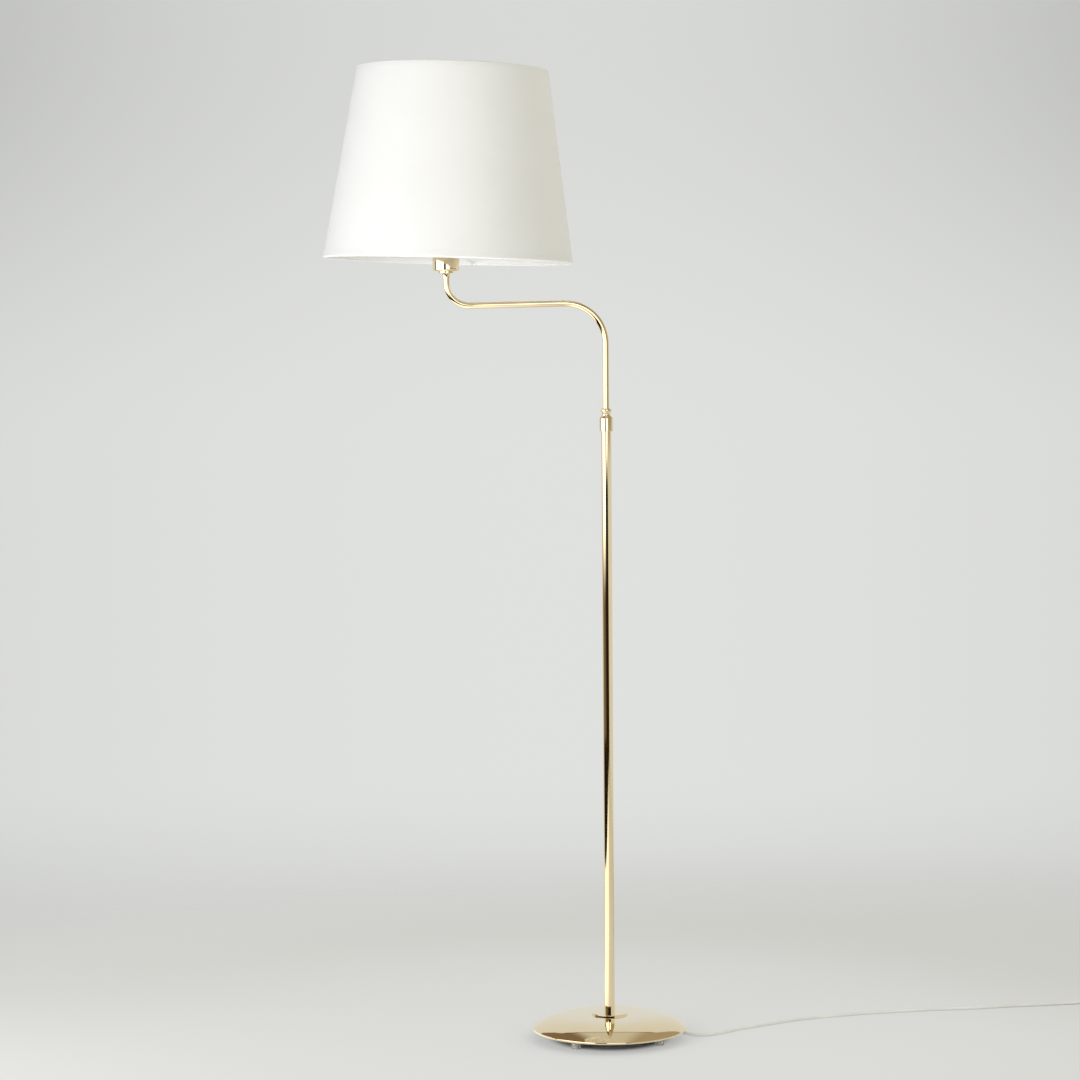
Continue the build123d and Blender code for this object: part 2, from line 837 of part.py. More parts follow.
# Two notched ring nuts and the carrier's centre ring between them
with BuildPart() as shade_ring_lower:
    with BuildSketch(at_holder(fitter_z - shade_ring_height)):
        Circle(shade_ring_r)
        Circle(thread_r, mode=Mode.SUBTRACT)
        with PolarLocations(shade_ring_r, shade_ring_notch_count):
            Circle(shade_ring_notch_r, mode=Mode.SUBTRACT)
    extrude(amount=shade_ring_height)
keep(shade_ring_lower, "shade_ring_lower")

with BuildPart() as shade_ring_upper:
    with BuildSketch(at_holder(fitter_top_z)):
        Circle(shade_ring_r)
        Circle(thread_r, mode=Mode.SUBTRACT)
        with PolarLocations(shade_ring_r, shade_ring_notch_count):
            Circle(shade_ring_notch_r, mode=Mode.SUBTRACT)
    extrude(amount=shade_ring_height)
keep(shade_ring_upper, "shade_ring_upper")

with BuildPart() as shade_fitter:
    with BuildSketch(at_holder(fitter_z)):
        Circle(fitter_r)
        Circle(sleeve_r + fitter_clearance, mode=Mode.SUBTRACT)
    extrude(amount=fitter_thickness)
keep(shade_fitter, "shade_fitter")

# Shade: a leaning cone of fabric on two wire hoops
slant = math.hypot(1, shade_slope)


def hoop_place(height):
    """Centre of a hoop's wire in the shade's own section, just inside the fabric at a height."""
    inside_r = shade_bottom_r - shade_slope * height - shade_wall * slant
    return inside_r - (hoop_r + hoop_gap) * slant, height


with BuildPart() as shade_skin:
    with BuildSketch(shade_section):
        with BuildLine():
            Polyline(
                (shade_bottom_r - shade_wall * slant, 0),
                (shade_bottom_r, 0),
                (shade_top_r, shade_height),
                (shade_top_r - shade_wall * slant, shade_height),
                close=True,
            )
        make_face()
    revolve(axis=shade_axis)
keep(shade_skin, "shade_skin")

with BuildPart() as shade_bottom_ring:
    with BuildSketch(shade_section):
        with Locations(hoop_place(hoop_inset)):
            Circle(hoop_r)
    revolve(axis=shade_axis)
keep(shade_bottom_ring, "shade_bottom_ring")

with BuildPart() as shade_top_ring:
    with BuildSketch(shade_section):
        with Locations(hoop_place(shade_height - hoop_inset)):
            Circle(hoop_r)
    revolve(axis=shade_axis)
keep(shade_top_ring, "shade_top_ring")

# Three straight wires from the centre ring to the bottom hoop
shade_level = Plane(origin=shade_origin, x_dir=(lean_cos, 0, -lean_sin), z_dir=(lean_sin, 0, lean_cos))
spider_ends_r = hoop_place(hoop_inset)[0] - hoop_r - weld_gap
spider_hub = Vector(-arm_reach, 0, fitter_z + fitter_thickness / 2)
with BuildPart() as spider_arms:
    for number in range(spider_count):
        turn = math.radians(spider_angle + number * 360 / spider_count)
        out = Vector(math.cos(turn), math.sin(turn), 0)
        inner_end = spider_hub + out * sleeve_r
        outer_end = shade_level.from_local_coords(out * spider_ends_r + Vector(0, 0, hoop_inset))
        with BuildSketch(Plane(origin=inner_end, z_dir=outer_end - inner_end)):
            Circle(spider_r)
        extrude(amount=(outer_end - inner_end).length)
    with BuildSketch(at_holder(fitter_z - shade_ring_height)):
        Circle(fitter_r + weld_gap)
    extrude(amount=fitter_thickness + 2 * shade_ring_height, mode=Mode.SUBTRACT)
keep(spider_arms, "spider_arms")

# Bulb: metal cap with its tip on the contact, and a thin glass
with BuildPart() as bulb_cap:
    with BuildSketch(holder_section):
        with BuildLine():
            cap_bore_r = bulb_cap_r - bulb_cap_wall
            Polyline(
                (0, contact_top_z),
                (bulb_tip_r, contact_top_z),
                (bulb_tip_r, contact_top_z + bulb_tip_height),
                (bulb_cap_r, bulb_thread_z),
                (bulb_cap_r, bulb_cap_top_z),
                (cap_bore_r, bulb_cap_top_z),
                (cap_bore_r, bulb_thread_z + bulb_floor),
                (0, bulb_thread_z + bulb_floor),
                close=True,
            )
        make_face()
    revolve(axis=holder_axis)
keep(bulb_cap, "bulb_cap")


def bulb_outline(inset):
    """Neck end, blend start, blend middle, globe start, globe middle and top of the glass at an inset."""
    globe_r = bulb_r - inset
    blend_r = bulb_blend_r + inset
    neck = (bulb_neck_r - inset, bulb_neck_top_z)
    blend_centre = (bulb_neck_r + bulb_blend_r, bulb_neck_top_z)
    globe_centre = (0, bulb_centre_z)
    way = (Vector(blend_centre) - Vector(globe_centre)).normalized()
    globe_start = Vector(globe_centre) + way * globe_r
    blend_mid = on_circle(blend_centre, blend_r, neck, globe_start)
    top = (0, bulb_centre_z + globe_r)
    globe_mid = on_circle(globe_centre, globe_r, (globe_r, bulb_centre_z), top)
    return neck, blend_mid, globe_start, globe_mid, top


glass_z = bulb_cap_top_z - bulb_neck_in_cap
with BuildPart() as bulb_glass:
    with BuildSketch(holder_section):
        with BuildLine():
            neck, blend_mid, globe_start, globe_mid, top = bulb_outline(0)
            Line((neck[0], glass_z), neck)
            ThreePointArc(neck, blend_mid, globe_start)
            ThreePointArc(globe_start, globe_mid, top)
            neck_in, blend_mid_in, globe_start_in, globe_mid_in, top_in = bulb_outline(bulb_wall)
            Line(top, top_in)
            ThreePointArc(top_in, globe_mid_in, globe_start_in)
            ThreePointArc(globe_start_in, blend_mid_in, neck_in)
            Line(neck_in, (neck_in[0], glass_z))
            Line((neck_in[0], glass_z), (neck[0], glass_z))
        make_face()
    revolve(axis=holder_axis)
keep(bulb_glass, "bulb_glass")

# Turn switch: spindle in the porcelain and a fluted knob
with BuildPart() as switch_spindle:
    with BuildSketch(switch_plane.offset(porcelain_r - spindle_seat)):
        Circle(spindle_r)
    extrude(amount=knob_back_y + knob_length - knob_wall - porcelain_r + spindle_seat)
keep(switch_spindle, "switch_spindle")

with BuildPart() as switch_knob:
    with BuildSketch(switch_plane.offset(knob_back_y)):
        Circle(knob_r)
    extrude(amount=knob_length)
    fillet(switch_knob.edges().group_by(Axis.Y)[0], knob_fillet)
    with BuildSketch(switch_plane.offset(knob_back_y)):
        with PolarLocations(knob_r, knob_groove_count):
            Circle(knob_groove)
    extrude(amount=knob_length - knob_fillet, mode=Mode.SUBTRACT)
    with BuildSketch(switch_plane.offset(knob_back_y)):
        Circle(spindle_r + seat_clearance)
    extrude(amount=knob_length - knob_wall, mode=Mode.SUBTRACT)
keep(switch_knob, "switch_knob")


def print_tube(name, piece, path, radii):
    """Say how tight a tube's corners are and how its volume agrees with its section times its length."""
    expected = math.pi * cord_r**2 * path.length
    tightest = min(radii)
    print(f"{name}: length {path.length:.1f}, least radius {tightest:.1f}")
    print(f"{name}: radii {[round(radius, 1) for radius in radii]}")
    print(f"{name}: volume over section times length {piece.volume / expected:.5f}")


# Cord from the strain relief along the floor to the coil
route = [(relief_tip_x, 0, relief_z)] + cord_route + [
    (coil_x - 6 * cord_d, coil_y + coil_outer_r, coil_z),
    (coil_x - cord_d, coil_y + coil_outer_r, coil_z),
]
route_radii = corner_radii(route)
with BuildPart() as power_cord:
    with BuildLine():
        cord_path = FilletPolyline(*route, radius=route_radii)
    with BuildSketch(Plane(origin=cord_path @ 0, z_dir=cord_path % 0)):
        Circle(cord_r)
    sweep()
keep(power_cord, "power_cord")
print_tube("power_cord", power_cord.part, cord_path, route_radii)


def coil_place(turns):
    """Centre line of the coil after a number of turns, and its direction there."""
    last = 2 * coil_turns
    angle = math.pi / 2 - 2 * math.pi * turns
    inward = turns if turns <= coil_turns else last - turns
    radius = coil_outer_r - coil_step * inward
    ends = min(turns, last - turns) < climb_share
    rate = 0 if ends else math.copysign(coil_step, turns - coil_turns)
    climb = min(max((turns - coil_turns) / climb_share + 1, 0), 2) / 2
    z = coil_z + coil_step * (1 - math.cos(math.pi * climb)) / 2
    z_rate = coil_step * math.sin(math.pi * climb) * math.pi / (4 * climb_share)
    out = Vector(math.cos(angle), math.sin(angle), 0)
    along = Vector(math.sin(angle), -math.cos(angle), 0)
    place = Vector(coil_x, coil_y, z) + out * radius
    way = out * rate + along * (2 * math.pi * radius) + Vector(0, 0, z_rate)
    return place, way.normalized()



def biarc_middle(start, start_way, end, end_way):
    """The point and direction where two tangent arcs between two directed points meet."""
    gap = end - start
    ways = start_way + end_way
    a = 2 * (1 - start_way.dot(end_way))
    b = 2 * gap.dot(ways)
    c = -gap.dot(gap)
    reach = -c / b if a < 1e-9 else (-b + math.sqrt(b * b - 4 * a * c)) / (2 * a)
    first = start + start_way * reach
    second = end - end_way * reach
    return (first + second) * 0.5, (second - first).normalized()


# Unseen length of the cord: one tube, spiralling in on the lower layer and out again on the upper one
span_count = round(2 * coil_turns * coil_spans_per_turn)
with BuildPart() as cord_coil:
    with BuildLine() as coil_line:
        first, first_way = coil_place(0)
        Line(first - first_way * cord_d, first)
        for span in range(span_count):
            start, start_way = coil_place(span / coil_spans_per_turn)
            end, end_way = coil_place((span + 1) / coil_spans_per_turn)
            middle, middle_way = biarc_middle(start, start_way, end, end_way)
            TangentArc(start, middle, tangent=start_way)
            TangentArc(middle, end, tangent=middle_way)
        last, last_way = coil_place(2 * coil_turns)
        Line(last, last + last_way * cord_d)
    with BuildSketch(Plane(origin=first - first_way * cord_d, z_dir=first_way)):
        Circle(cord_r)
    sweep()
keep(cord_coil, "cord_coil")

coil_length = sum(edge.length for edge in coil_line.line.edges())
samples = []
for edge in coil_line.line.edges():
    pieces = max(2, round(edge.length / cord_r))
    samples += [edge @ (number / pieces) for number in range(pieces)]
neighbour_count = round(math.pi * coil_inner_r / cord_r)
least = min(
    (one - other).length
    for number, one in enumerate(samples)
    for other in samples[number + neighbour_count :]
)
print(f"cord_coil: length {coil_length:.1f}, least gap to itself {least - cord_d:.3f}")
coil_expected = math.pi * cord_r**2 * coil_length
print(f"cord_coil: volume over section times length {cord_coil.part.volume / coil_expected:.5f}")

# Tail of the cord from the coil to the plug
tail_route = [
    (tail_x, tail_y, coil_top_z),
    (tail_x, tail_y - tail_run, coil_top_z),
    (plug_x, tail_y - 2 * tail_run, plug_z),
    (plug_x, plug_tail_y, plug_z),
]
tail_radii = corner_radii(tail_route)
with BuildPart() as cord_tail:
    with BuildLine():
        tail_path = FilletPolyline(*tail_route, radius=tail_radii)
    with BuildSketch(Plane(origin=tail_path @ 0, z_dir=tail_path % 0)):
        Circle(cord_r)
    sweep()
keep(cord_tail, "cord_tail")
print_tube("cord_tail", cord_tail.part, tail_path, tail_radii)
print(f"whole cord: {cord_path.length + coil_length + tail_path.length:.0f} long")

# Band round the coil's turns
band_inside = coil_inner_r - cord_r - tie_gap
band_outside = coil_outer_r + cord_r + tie_gap
band_centre = (coil_y - (band_inside + band_outside) / 2, (coil_z + coil_top_z) / 2)
band_width = band_outside - band_inside
band_height = coil_step + 2 * (cord_r + tie_gap)
band_corner = cord_r + tie_gap
with BuildPart() as cord_tie:
    with BuildSketch(Plane.YZ.offset(coil_x - tie_width / 2)):
        with Locations(band_centre):
            outer_size = (band_width + 2 * tie_thickness, band_height + 2 * tie_thickness)
            RectangleRounded(*outer_size, band_corner + tie_thickness)
            RectangleRounded(band_width, band_height, band_corner, mode=Mode.SUBTRACT)
    extrude(amount=tie_width)
keep(cord_tie, "cord_tie")

# Flat two-pin plug lying on the floor
plug_waist_y = plug_face_y + plug_length * plug_waist_share
with BuildPart() as plug_body:
    with BuildSketch(level(0)):
        with BuildLine():
            Polyline(
                (plug_x - plug_half_width, plug_face_y),
                (plug_x + plug_half_width, plug_face_y),
                (plug_x + plug_half_width, plug_waist_y),
                (plug_x + plug_rear_half_width, plug_rear_y),
                (plug_x - plug_rear_half_width, plug_rear_y),
                (plug_x - plug_half_width, plug_waist_y),
                close=True,
            )
        make_face()
    extrude(amount=2 * plug_half_thickness)
    fillet(plug_body.edges().filter_by(Axis.Z), plug_fillet)
    fillet(plug_body.faces().sort_by(Axis.Y)[0].edges(), plug_fillet / 2)
    rear_plane = Plane(origin=(plug_x, plug_rear_y, plug_z), x_dir=(1, 0, 0), z_dir=(0, 1, 0))
    with BuildSketch(rear_plane):
        Circle(plug_relief_r)
    with BuildSketch(rear_plane.offset(plug_relief_length)):
        Circle(plug_relief_tip_r)
    loft()
keep(plug_body, "plug_body")

pin_plane = Plane(origin=(plug_x, plug_face_y, plug_z), x_dir=(1, 0, 0), z_dir=(0, -1, 0))
with BuildPart() as plug_pins:
    with BuildSketch(pin_plane):
        with Locations((-pin_spacing / 2, 0), (pin_spacing / 2, 0)):
            Circle(pin_r)
    extrude(amount=pin_length)
    fillet(plug_pins.edges().group_by(Axis.Y)[0], pin_tip_fillet)
keep(plug_pins, "plug_pins")
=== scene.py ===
"""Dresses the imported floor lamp: polished brass, a woven shade, a pale cord and a plain studio."""

import math

import bmesh
import bpy
from bpy.props import FloatProperty, FloatVectorProperty, IntProperty, PointerProperty
from mathutils import Matrix, Vector


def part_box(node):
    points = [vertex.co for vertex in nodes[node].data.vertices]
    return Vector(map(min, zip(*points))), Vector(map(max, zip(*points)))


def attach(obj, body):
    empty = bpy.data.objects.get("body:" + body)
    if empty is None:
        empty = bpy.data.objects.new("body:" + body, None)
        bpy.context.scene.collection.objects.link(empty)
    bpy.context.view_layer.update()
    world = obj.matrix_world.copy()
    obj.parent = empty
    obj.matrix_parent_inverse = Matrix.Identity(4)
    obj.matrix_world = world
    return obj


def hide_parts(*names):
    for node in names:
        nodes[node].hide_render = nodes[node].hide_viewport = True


bl_info = {
    "name": "Floor lamp",
    "version": (1, 0, 0),
    "blender": (4, 5, 0),
    "location": "3D View > Sidebar > Lamp",
    "description": "Dresses a brass floor lamp with a woven shade and sets it on a pale studio floor",
    "category": "Object",
}

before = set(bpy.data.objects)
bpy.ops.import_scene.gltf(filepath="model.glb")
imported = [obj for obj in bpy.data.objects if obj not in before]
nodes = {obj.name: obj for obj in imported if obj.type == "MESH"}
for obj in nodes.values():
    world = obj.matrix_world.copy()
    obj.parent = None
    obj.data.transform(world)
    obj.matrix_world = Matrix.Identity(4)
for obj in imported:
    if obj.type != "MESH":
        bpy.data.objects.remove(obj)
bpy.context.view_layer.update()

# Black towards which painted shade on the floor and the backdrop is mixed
SHADE_BLACK = (0.0, 0.0, 0.0)
STEM_FOOT = (0.0, 0.0, 0.0)


def colour_property(name, description, default):
    """A colour that a user may change."""
    return FloatVectorProperty(
        name=name, description=description, default=default, subtype="COLOR", size=3, min=0.0, max=1.0
    )


def length_property(name, description, default):
    """A length in metres that a user may change."""
    return FloatProperty(name=name, description=description, default=default, unit="LENGTH", precision=5)


def share_property(name, description, default):
    """A share between nought and one that a user may change."""
    return FloatProperty(
        name=name, description=description, default=default, subtype="FACTOR", min=0.0, max=1.0
    )


def angle_property(name, description, degrees):
    """An angle that a user may change, from its default in degrees."""
    return FloatProperty(name=name, description=description, default=math.radians(degrees), subtype="ANGLE")


def power_property(name, description, default):
    """A light's power in watts that a user may change."""
    return FloatProperty(name=name, description=description, default=default, unit="POWER")


class LampBrassSettings(bpy.types.PropertyGroup):
    """Finish of the polished brass."""

    colour: colour_property("Brass", "Colour of the clean metal", (0.90, 0.755, 0.475))
    aged: colour_property("Aged brass", "Colour where the polish is thinner", (0.85, 0.68, 0.40))
    roughness: share_property("Polish", "Roughness of the polished metal", 0.035)
    line_depth: length_property("Line depth", "Depth of the polishing lines", 0.0000002)


class LampShadeSettings(bpy.types.PropertyGroup):
    """Cut and finish of the shade."""

    lean: angle_property("Lean", "Lean of the shade towards the stem", 1.9)
    bottom_radius: length_property("Bottom radius", "Radius of the bottom rim", 0.191)
    top_radius: length_property("Top radius", "Radius of the top rim", 0.1455)
    height: length_property("Height", "Height along the shade's axis", 0.2926)
    thickness: length_property("Thickness", "Thickness of the backed fabric", 0.001)
    hoop_depth: length_property("Hoop depth", "Middle of the wire hoop behind the fabric's face", 0.0027)
    hoop_inset: length_property("Hoop inset", "Middle of the wire hoop from the rim", 0.0024)
    hem: length_property("Hem", "Height of the fabric turned in over the hoop", 0.011)
    seam_angle: angle_property("Seam", "Place of the glued seam round the shade", 112)
    seam_width: length_property("Seam width", "Width of the overlap at the seam", 0.012)
    seam_edge: length_property("Seam edge", "Width in which the overlap rises", 0.0015)
    seam_lift: length_property("Seam lift", "How far the overlap stands proud", 0.0005)
    face_through: share_property("Light through the face", "Share of light that the face lets in", 0.30)
    lining_through: share_property("Light through the lining", "Share of light that the lining lets in", 0.03)
    colour: colour_property("Fabric", "Colour of the fabric", (0.888, 0.888, 0.884))
    # The darker threads' colour also serves as painted shade in the hollows of the weave
    thread: colour_property("Thread", "Colour of the darker threads", (0.84, 0.835, 0.82))
    pitch: length_property("Thread pitch", "Distance between threads", 0.0008)
    columns: IntProperty(name="Columns", description="Faces round the shade", default=180, min=24)


class LampCordSettings(bpy.types.PropertyGroup):
    """Cord, its coil and its plug."""

    diameter: length_property("Diameter", "Thickness of the cord", 0.005)
    colour: colour_property("Cord", "Colour of the cord", (0.75, 0.745, 0.72))
    coil_radius: length_property("Coil radius", "Radius of the coil's innermost turn", 0.020)
    coil_step: length_property("Coil step", "Distance between turns of the coil", 0.0056)
    coil_turns: FloatProperty(name="Coil turns", description="Turns in each layer of the coil", default=3.125)


class LampStageSettings(bpy.types.PropertyGroup):
    """Floor, light and camera."""

    floor: colour_property("Floor", "Colour of the floor", (0.765, 0.768, 0.785))
    # Painted light: the floor's glow lightens the shadow round the base
    glow: colour_property("Floor glow", "Light that the floor throws round the base", (0.72, 0.725, 0.71))
    wall: colour_property("Wall", "Colour of the backdrop", (0.745, 0.755, 0.735))
    room: colour_property("Room", "Colour of the unlit room in front", (0.016, 0.010, 0.005))
    room_left: colour_property("Room on the left", "Colour of the dim room on the left", (0.22, 0.155, 0.10))
    room_right: colour_property("Room on the right", "Colour of the room on the right", (0.41, 0.35, 0.26))
    ceiling: colour_property("Ceiling", "Colour above the backdrop", (0.62, 0.60, 0.565))
    fill_left: colour_property("Fill on the left", "Soft light from the left", (0.495, 0.50, 0.505))
    fill_right: colour_property("Fill on the right", "Soft light from the right", (1.0, 0.98, 0.855))
    fill_strength: FloatProperty(name="Fill", description="Strength of the soft light", default=1.055)
    key_power: power_property("Key light", "Power of the large soft light", 56.0)
    bounce_power: power_property("Bounce light", "Power of the light that the floor throws up", 1.4)
    lens: FloatProperty(name="Lens", description="Focal length of the camera", default=103.33, unit="CAMERA")
    pitch: angle_property("Pitch", "How far the camera looks down", 3.45)
    roll: angle_property("Roll", "Roll of the camera", -0.42)


class LampSettings(bpy.types.PropertyGroup):
    """All that a user may change."""

    brass: PointerProperty(name="Brass", description="Polished brass", type=LampBrassSettings)
    shade: PointerProperty(name="Shade", description="Fabric shade", type=LampShadeSettings)
    cord: PointerProperty(name="Cord", description="Mains cord", type=LampCordSettings)
    stage: PointerProperty(name="Stage", description="Floor, light and camera", type=LampStageSettings)


class Value:
    """A shader socket that takes part in Python expressions; make adds any other node to its tree."""

    def __init__(self, tree, socket=None):
        self.tree = tree
        self.socket = socket

    def make(self, kind, settings=None, inputs=None, output=0):
        """Add a node, set its settings and then its sockets, and return one of its outputs."""
        node = self.tree.nodes.new(kind)
        for name, setting in (settings or {}).items():
            setattr(node, name, setting)
        for key, value in (inputs or {}).items():
            if isinstance(value, Value):
                self.tree.links.new(value.socket, node.inputs[key])
            else:
                node.inputs[key].default_value = value
        return Value(self.tree, node.outputs[output] if node.outputs else None)

    def math(self, operation, *terms):
        """One Math node."""
        return self.make("ShaderNodeMath", {"operation": operation}, dict(enumerate(terms)))

    def __add__(self, other):
        return self.math("ADD", self, other)

    __radd__ = __add__

    def __mul__(self, other):
        return self.math("MULTIPLY", self, other)

    __rmul__ = __mul__

    def __sub__(self, other):
        return self.math("SUBTRACT", self, other)

    def __rsub__(self, other):
        return self.math("SUBTRACT", other, self)

    def __truediv__(self, other):
        return self.math("DIVIDE", self, other)

    def __rtruediv__(self, other):
        return self.math("DIVIDE", other, self)


def full(colour):
    """A colour with its alpha."""
    return (*colour, 1.0)


def mixed(paint, factor, first, second):
    """A colour between two others."""
    first, second = (c if isinstance(c, Value) else full(c) for c in (first, second))
    return paint.make("ShaderNodeMix", {"data_type": "RGBA"}, {0: factor, 6: first, 7: second}, 2)


def stretched(paint, vector, scale):
    """A vector with its three parts scaled."""
    return paint.make("ShaderNodeVectorMath", {"operation": "MULTIPLY"}, {0: vector, 1: scale})


def noise(paint, vector, scale, detail=2.0, roughness=0.5):
    """Soft noise, about a half in the middle."""
    inputs = {"Vector": vector, "Scale": scale, "Detail": detail, "Roughness": roughness}
    return paint.make("ShaderNodeTexNoise", None, inputs)


def distance_from(paint, point, middle):
    """How far a point is from another, in metres."""
    settings = {"operation": "DISTANCE"}
    return paint.make("ShaderNodeVectorMath", settings, {0: point, 1: middle}, "Value")


def ranged(paint, value, low, high, to_low=0.0, to_high=1.0):
    """A value taken smoothly from one range to another."""
    inputs = {"Value": value, "From Min": low, "From Max": high, "To Min": to_low, "To Max": to_high}
    return paint.make("ShaderNodeMapRange", {"interpolation_type": "SMOOTHSTEP"}, inputs)


def parts_of(paint, vector):
    """The three parts of a vector."""
    return [paint.make("ShaderNodeSeparateXYZ", None, {0: vector}, part) for part in range(3)]


def new_material(name):
    """An empty material and the start of its expressions."""
    material = bpy.data.materials.new(name)
    material.use_nodes = True
    material.node_tree.nodes.clear()
    return material, Value(material.node_tree)


def bumped(paint, height, distance, strength=1.0):
    """A normal from a height."""
    return paint.make("ShaderNodeBump", None, {"Height": height, "Distance": distance, "Strength": strength})


def shader(paint, **inputs):
    """The main shader of a material, from its sockets."""
    sockets = {name.replace("_", " "): value for name, value in inputs.items()}
    return paint.make("ShaderNodeBsdfPrincipled", None, sockets)


def surfaced(paint, **inputs):
    """The surface of a material that needs one shader."""
    paint.make("ShaderNodeOutputMaterial", None, {"Surface": shader(paint, **inputs)})


def place(paint):
    """Where a point is in its piece's own frame, in metres."""
    return paint.make("ShaderNodeTexCoord", output="Object")


def spun_lines(paint, point):
    """Where a point is across polishing lines that run round the stem's axis."""
    per_metre = 1400.0
    x, y, _ = parts_of(paint, point)
    radius = paint.math("SQRT", x * x + y * y)
    return paint.make("ShaderNodeCombineXYZ", None, {0: radius * per_metre})


def drawn_lines(paint, point):
    """Where a point is across polishing lines that run along an upright tube."""
    across_per_metre, along_per_metre = 900.0, 9.0
    return stretched(paint, point, (across_per_metre, across_per_metre, along_per_metre))


def turned_lines(paint, point):
    """Where a point is across polishing lines that run round an upright turned piece."""
    round_per_metre, up_per_metre = 30.0, 2600.0
    return stretched(paint, point, (round_per_metre, round_per_metre, up_per_metre))


def polished_brass(name, settings, lines):
    """Polished and lacquered brass with the fine lines that one way of polishing leaves."""
    material, paint = new_material(name)
    point = place(paint)
    line = noise(paint, lines(paint, point), scale=1.0, detail=3.0, roughness=0.6)
    cloud = noise(paint, point, scale=9.0, detail=3.0)
    speck = noise(paint, point, scale=160.0)
    worn = ranged(paint, cloud, 0.35, 0.75)
    dulled = ranged(paint, speck, 0.62, 0.75)
    worn_share, line_rough, worn_rough, speck_rough = 0.6, 0.01, 0.015, 0.02
    colour = mixed(paint, worn * worn_share, settings.colour, settings.aged)
    rough = settings.roughness + line * line_rough + worn * worn_rough + dulled * speck_rough
    surfaced(
        paint, Base_Color=colour, Metallic=1.0, Roughness=rough,
        Normal=bumped(paint, line, settings.line_depth), Coat_Weight=1.0, Coat_Roughness=0.02,
    )
    return material


def plain_metal(name, colour, dull, roughness, scale=60.0, depth=0.00003):
    """Plated or painted metal with a faint grain."""
    material, paint = new_material(name)
    point = place(paint)
    grain = noise(paint, point, scale, detail=4.0, roughness=0.6)
    cloud = noise(paint, point, scale / 6)
    tone = mixed(paint, ranged(paint, cloud, 0.3, 0.7), colour, dull)
    grain_rough = 0.15
    rough = roughness + grain * grain_rough
    surfaced(paint, Base_Color=tone, Metallic=1.0, Roughness=rough, Normal=bumped(paint, grain, depth))
    return material


def moulded(name, colour, dull, roughness, scale=900.0, depth=0.00002, **extra):
    """Moulded, painted or glazed surface with a fine skin."""
    material, paint = new_material(name)
    point = place(paint)
    skin = noise(paint, point, scale)
    cloud = noise(paint, point, scale=22.0, detail=3.0)
    tone = mixed(paint, ranged(paint, cloud, 0.35, 0.7), colour, dull)
    skin_rough, cloud_rough = 0.08, 0.06
    rough = roughness + skin * skin_rough + cloud * cloud_rough
    surfaced(paint, Base_Color=tone, Roughness=rough, Normal=bumped(paint, skin, depth), **extra)
    return material


def woven_fabric(name, settings):
    """Plain weave with slubs; the map is in metres round the shade and up its face and down its lining."""
    material, paint = new_material(name)
    around, up, _ = parts_of(paint, paint.make("ShaderNodeUVMap", {"uv_map": "weave"}))
    turn = 2 * math.pi / settings.pitch
    warp = paint.math("SINE", around * turn)
    weft = paint.math("SINE", up * turn)
    half = turn / 2
    over = paint.math("SINE", around * half) * paint.math("SINE", up * half)
    crossing = 0.6
    warp_over, weft_over = ranged(paint, over, -crossing, crossing), ranged(paint, over, crossing, -crossing)
    weave = warp_over * warp * 0.5 + weft_over * weft * 0.5
    map_point = paint.make("ShaderNodeCombineXYZ", None, {0: around, 1: up})
    across_per_metre, along_per_metre = 1500.0, 26.0
    upright = stretched(paint, map_point, (across_per_metre, along_per_metre, 1.0))
    level = stretched(paint, map_point, (along_per_metre, across_per_metre, 1.0))
    slub_up, slub_round = noise(paint, upright, scale=1.0), noise(paint, level, scale=1.0)
    slub = ranged(paint, slub_up, 0.5, 0.8) + ranged(paint, slub_round, 0.5, 0.8)
    cloud = ranged(paint, noise(paint, map_point, scale=14.0, detail=3.0), 0.3, 0.75)
    # Painted shade: the hollows of the weave are mixed towards the darker thread colour
    hollow_shade = ranged(paint, weave, 0.2, -0.5)
    slub_share, cloud_share, hollow_share = 0.30, 0.25, 0.30
    # Mix of the threads' own slubs and clouds with painted shade in the weave's hollows
    shade = slub * slub_share + cloud * cloud_share + hollow_shade * hollow_share
    colour = mixed(paint, shade, settings.colour, settings.thread)
    thread_rise, slub_rise, thread_depth = 0.5, 0.6, 0.00012
    normal = bumped(paint, weave * thread_rise + slub * slub_rise, thread_depth, strength=0.8)
    thread_rough, slub_rough = 0.82, 0.05
    face = shader(
        paint, Base_Color=colour, Roughness=thread_rough + slub * slub_rough, Normal=normal,
        Sheen_Weight=0.12, Sheen_Roughness=0.5, Specular_IOR_Level=0.25,
    )
    through_inputs = {"Color": full(settings.colour), "Normal": normal}
    through = paint.make("ShaderNodeBsdfTranslucent", None, through_inputs)
    lining_from, lining_to = settings.height, settings.height + settings.hem
    let_in = ranged(paint, up, lining_from, lining_to, settings.face_through, settings.lining_through)
    surface = paint.make("ShaderNodeMixShader", None, {0: let_in, 1: face, 2: through})
    paint.make("ShaderNodeOutputMaterial", None, {"Surface": surface})
    return material


def paint_nodes(material, *names):
    """Give solids of the frame a material."""
    for name in names:
        mesh = nodes[name].data
        mesh.materials.clear()
        mesh.materials.append(material)


def new_piece(name, mesh_or_curve, body, slot, *replaced):
    """A new piece of the lamp that rides on a body and stands for solids of the frame."""
    piece = bpy.data.objects.new(name, mesh_or_curve)
    bpy.context.scene.collection.objects.link(piece)
    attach(piece, body)
    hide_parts(*replaced)
    return piece


class LampOperator:
    """What the lamp's operators share."""

    bl_options = {"REGISTER", "UNDO"}

    def execute(self, context):
        self.build(context.scene.lamp)
        return {"FINISHED"}


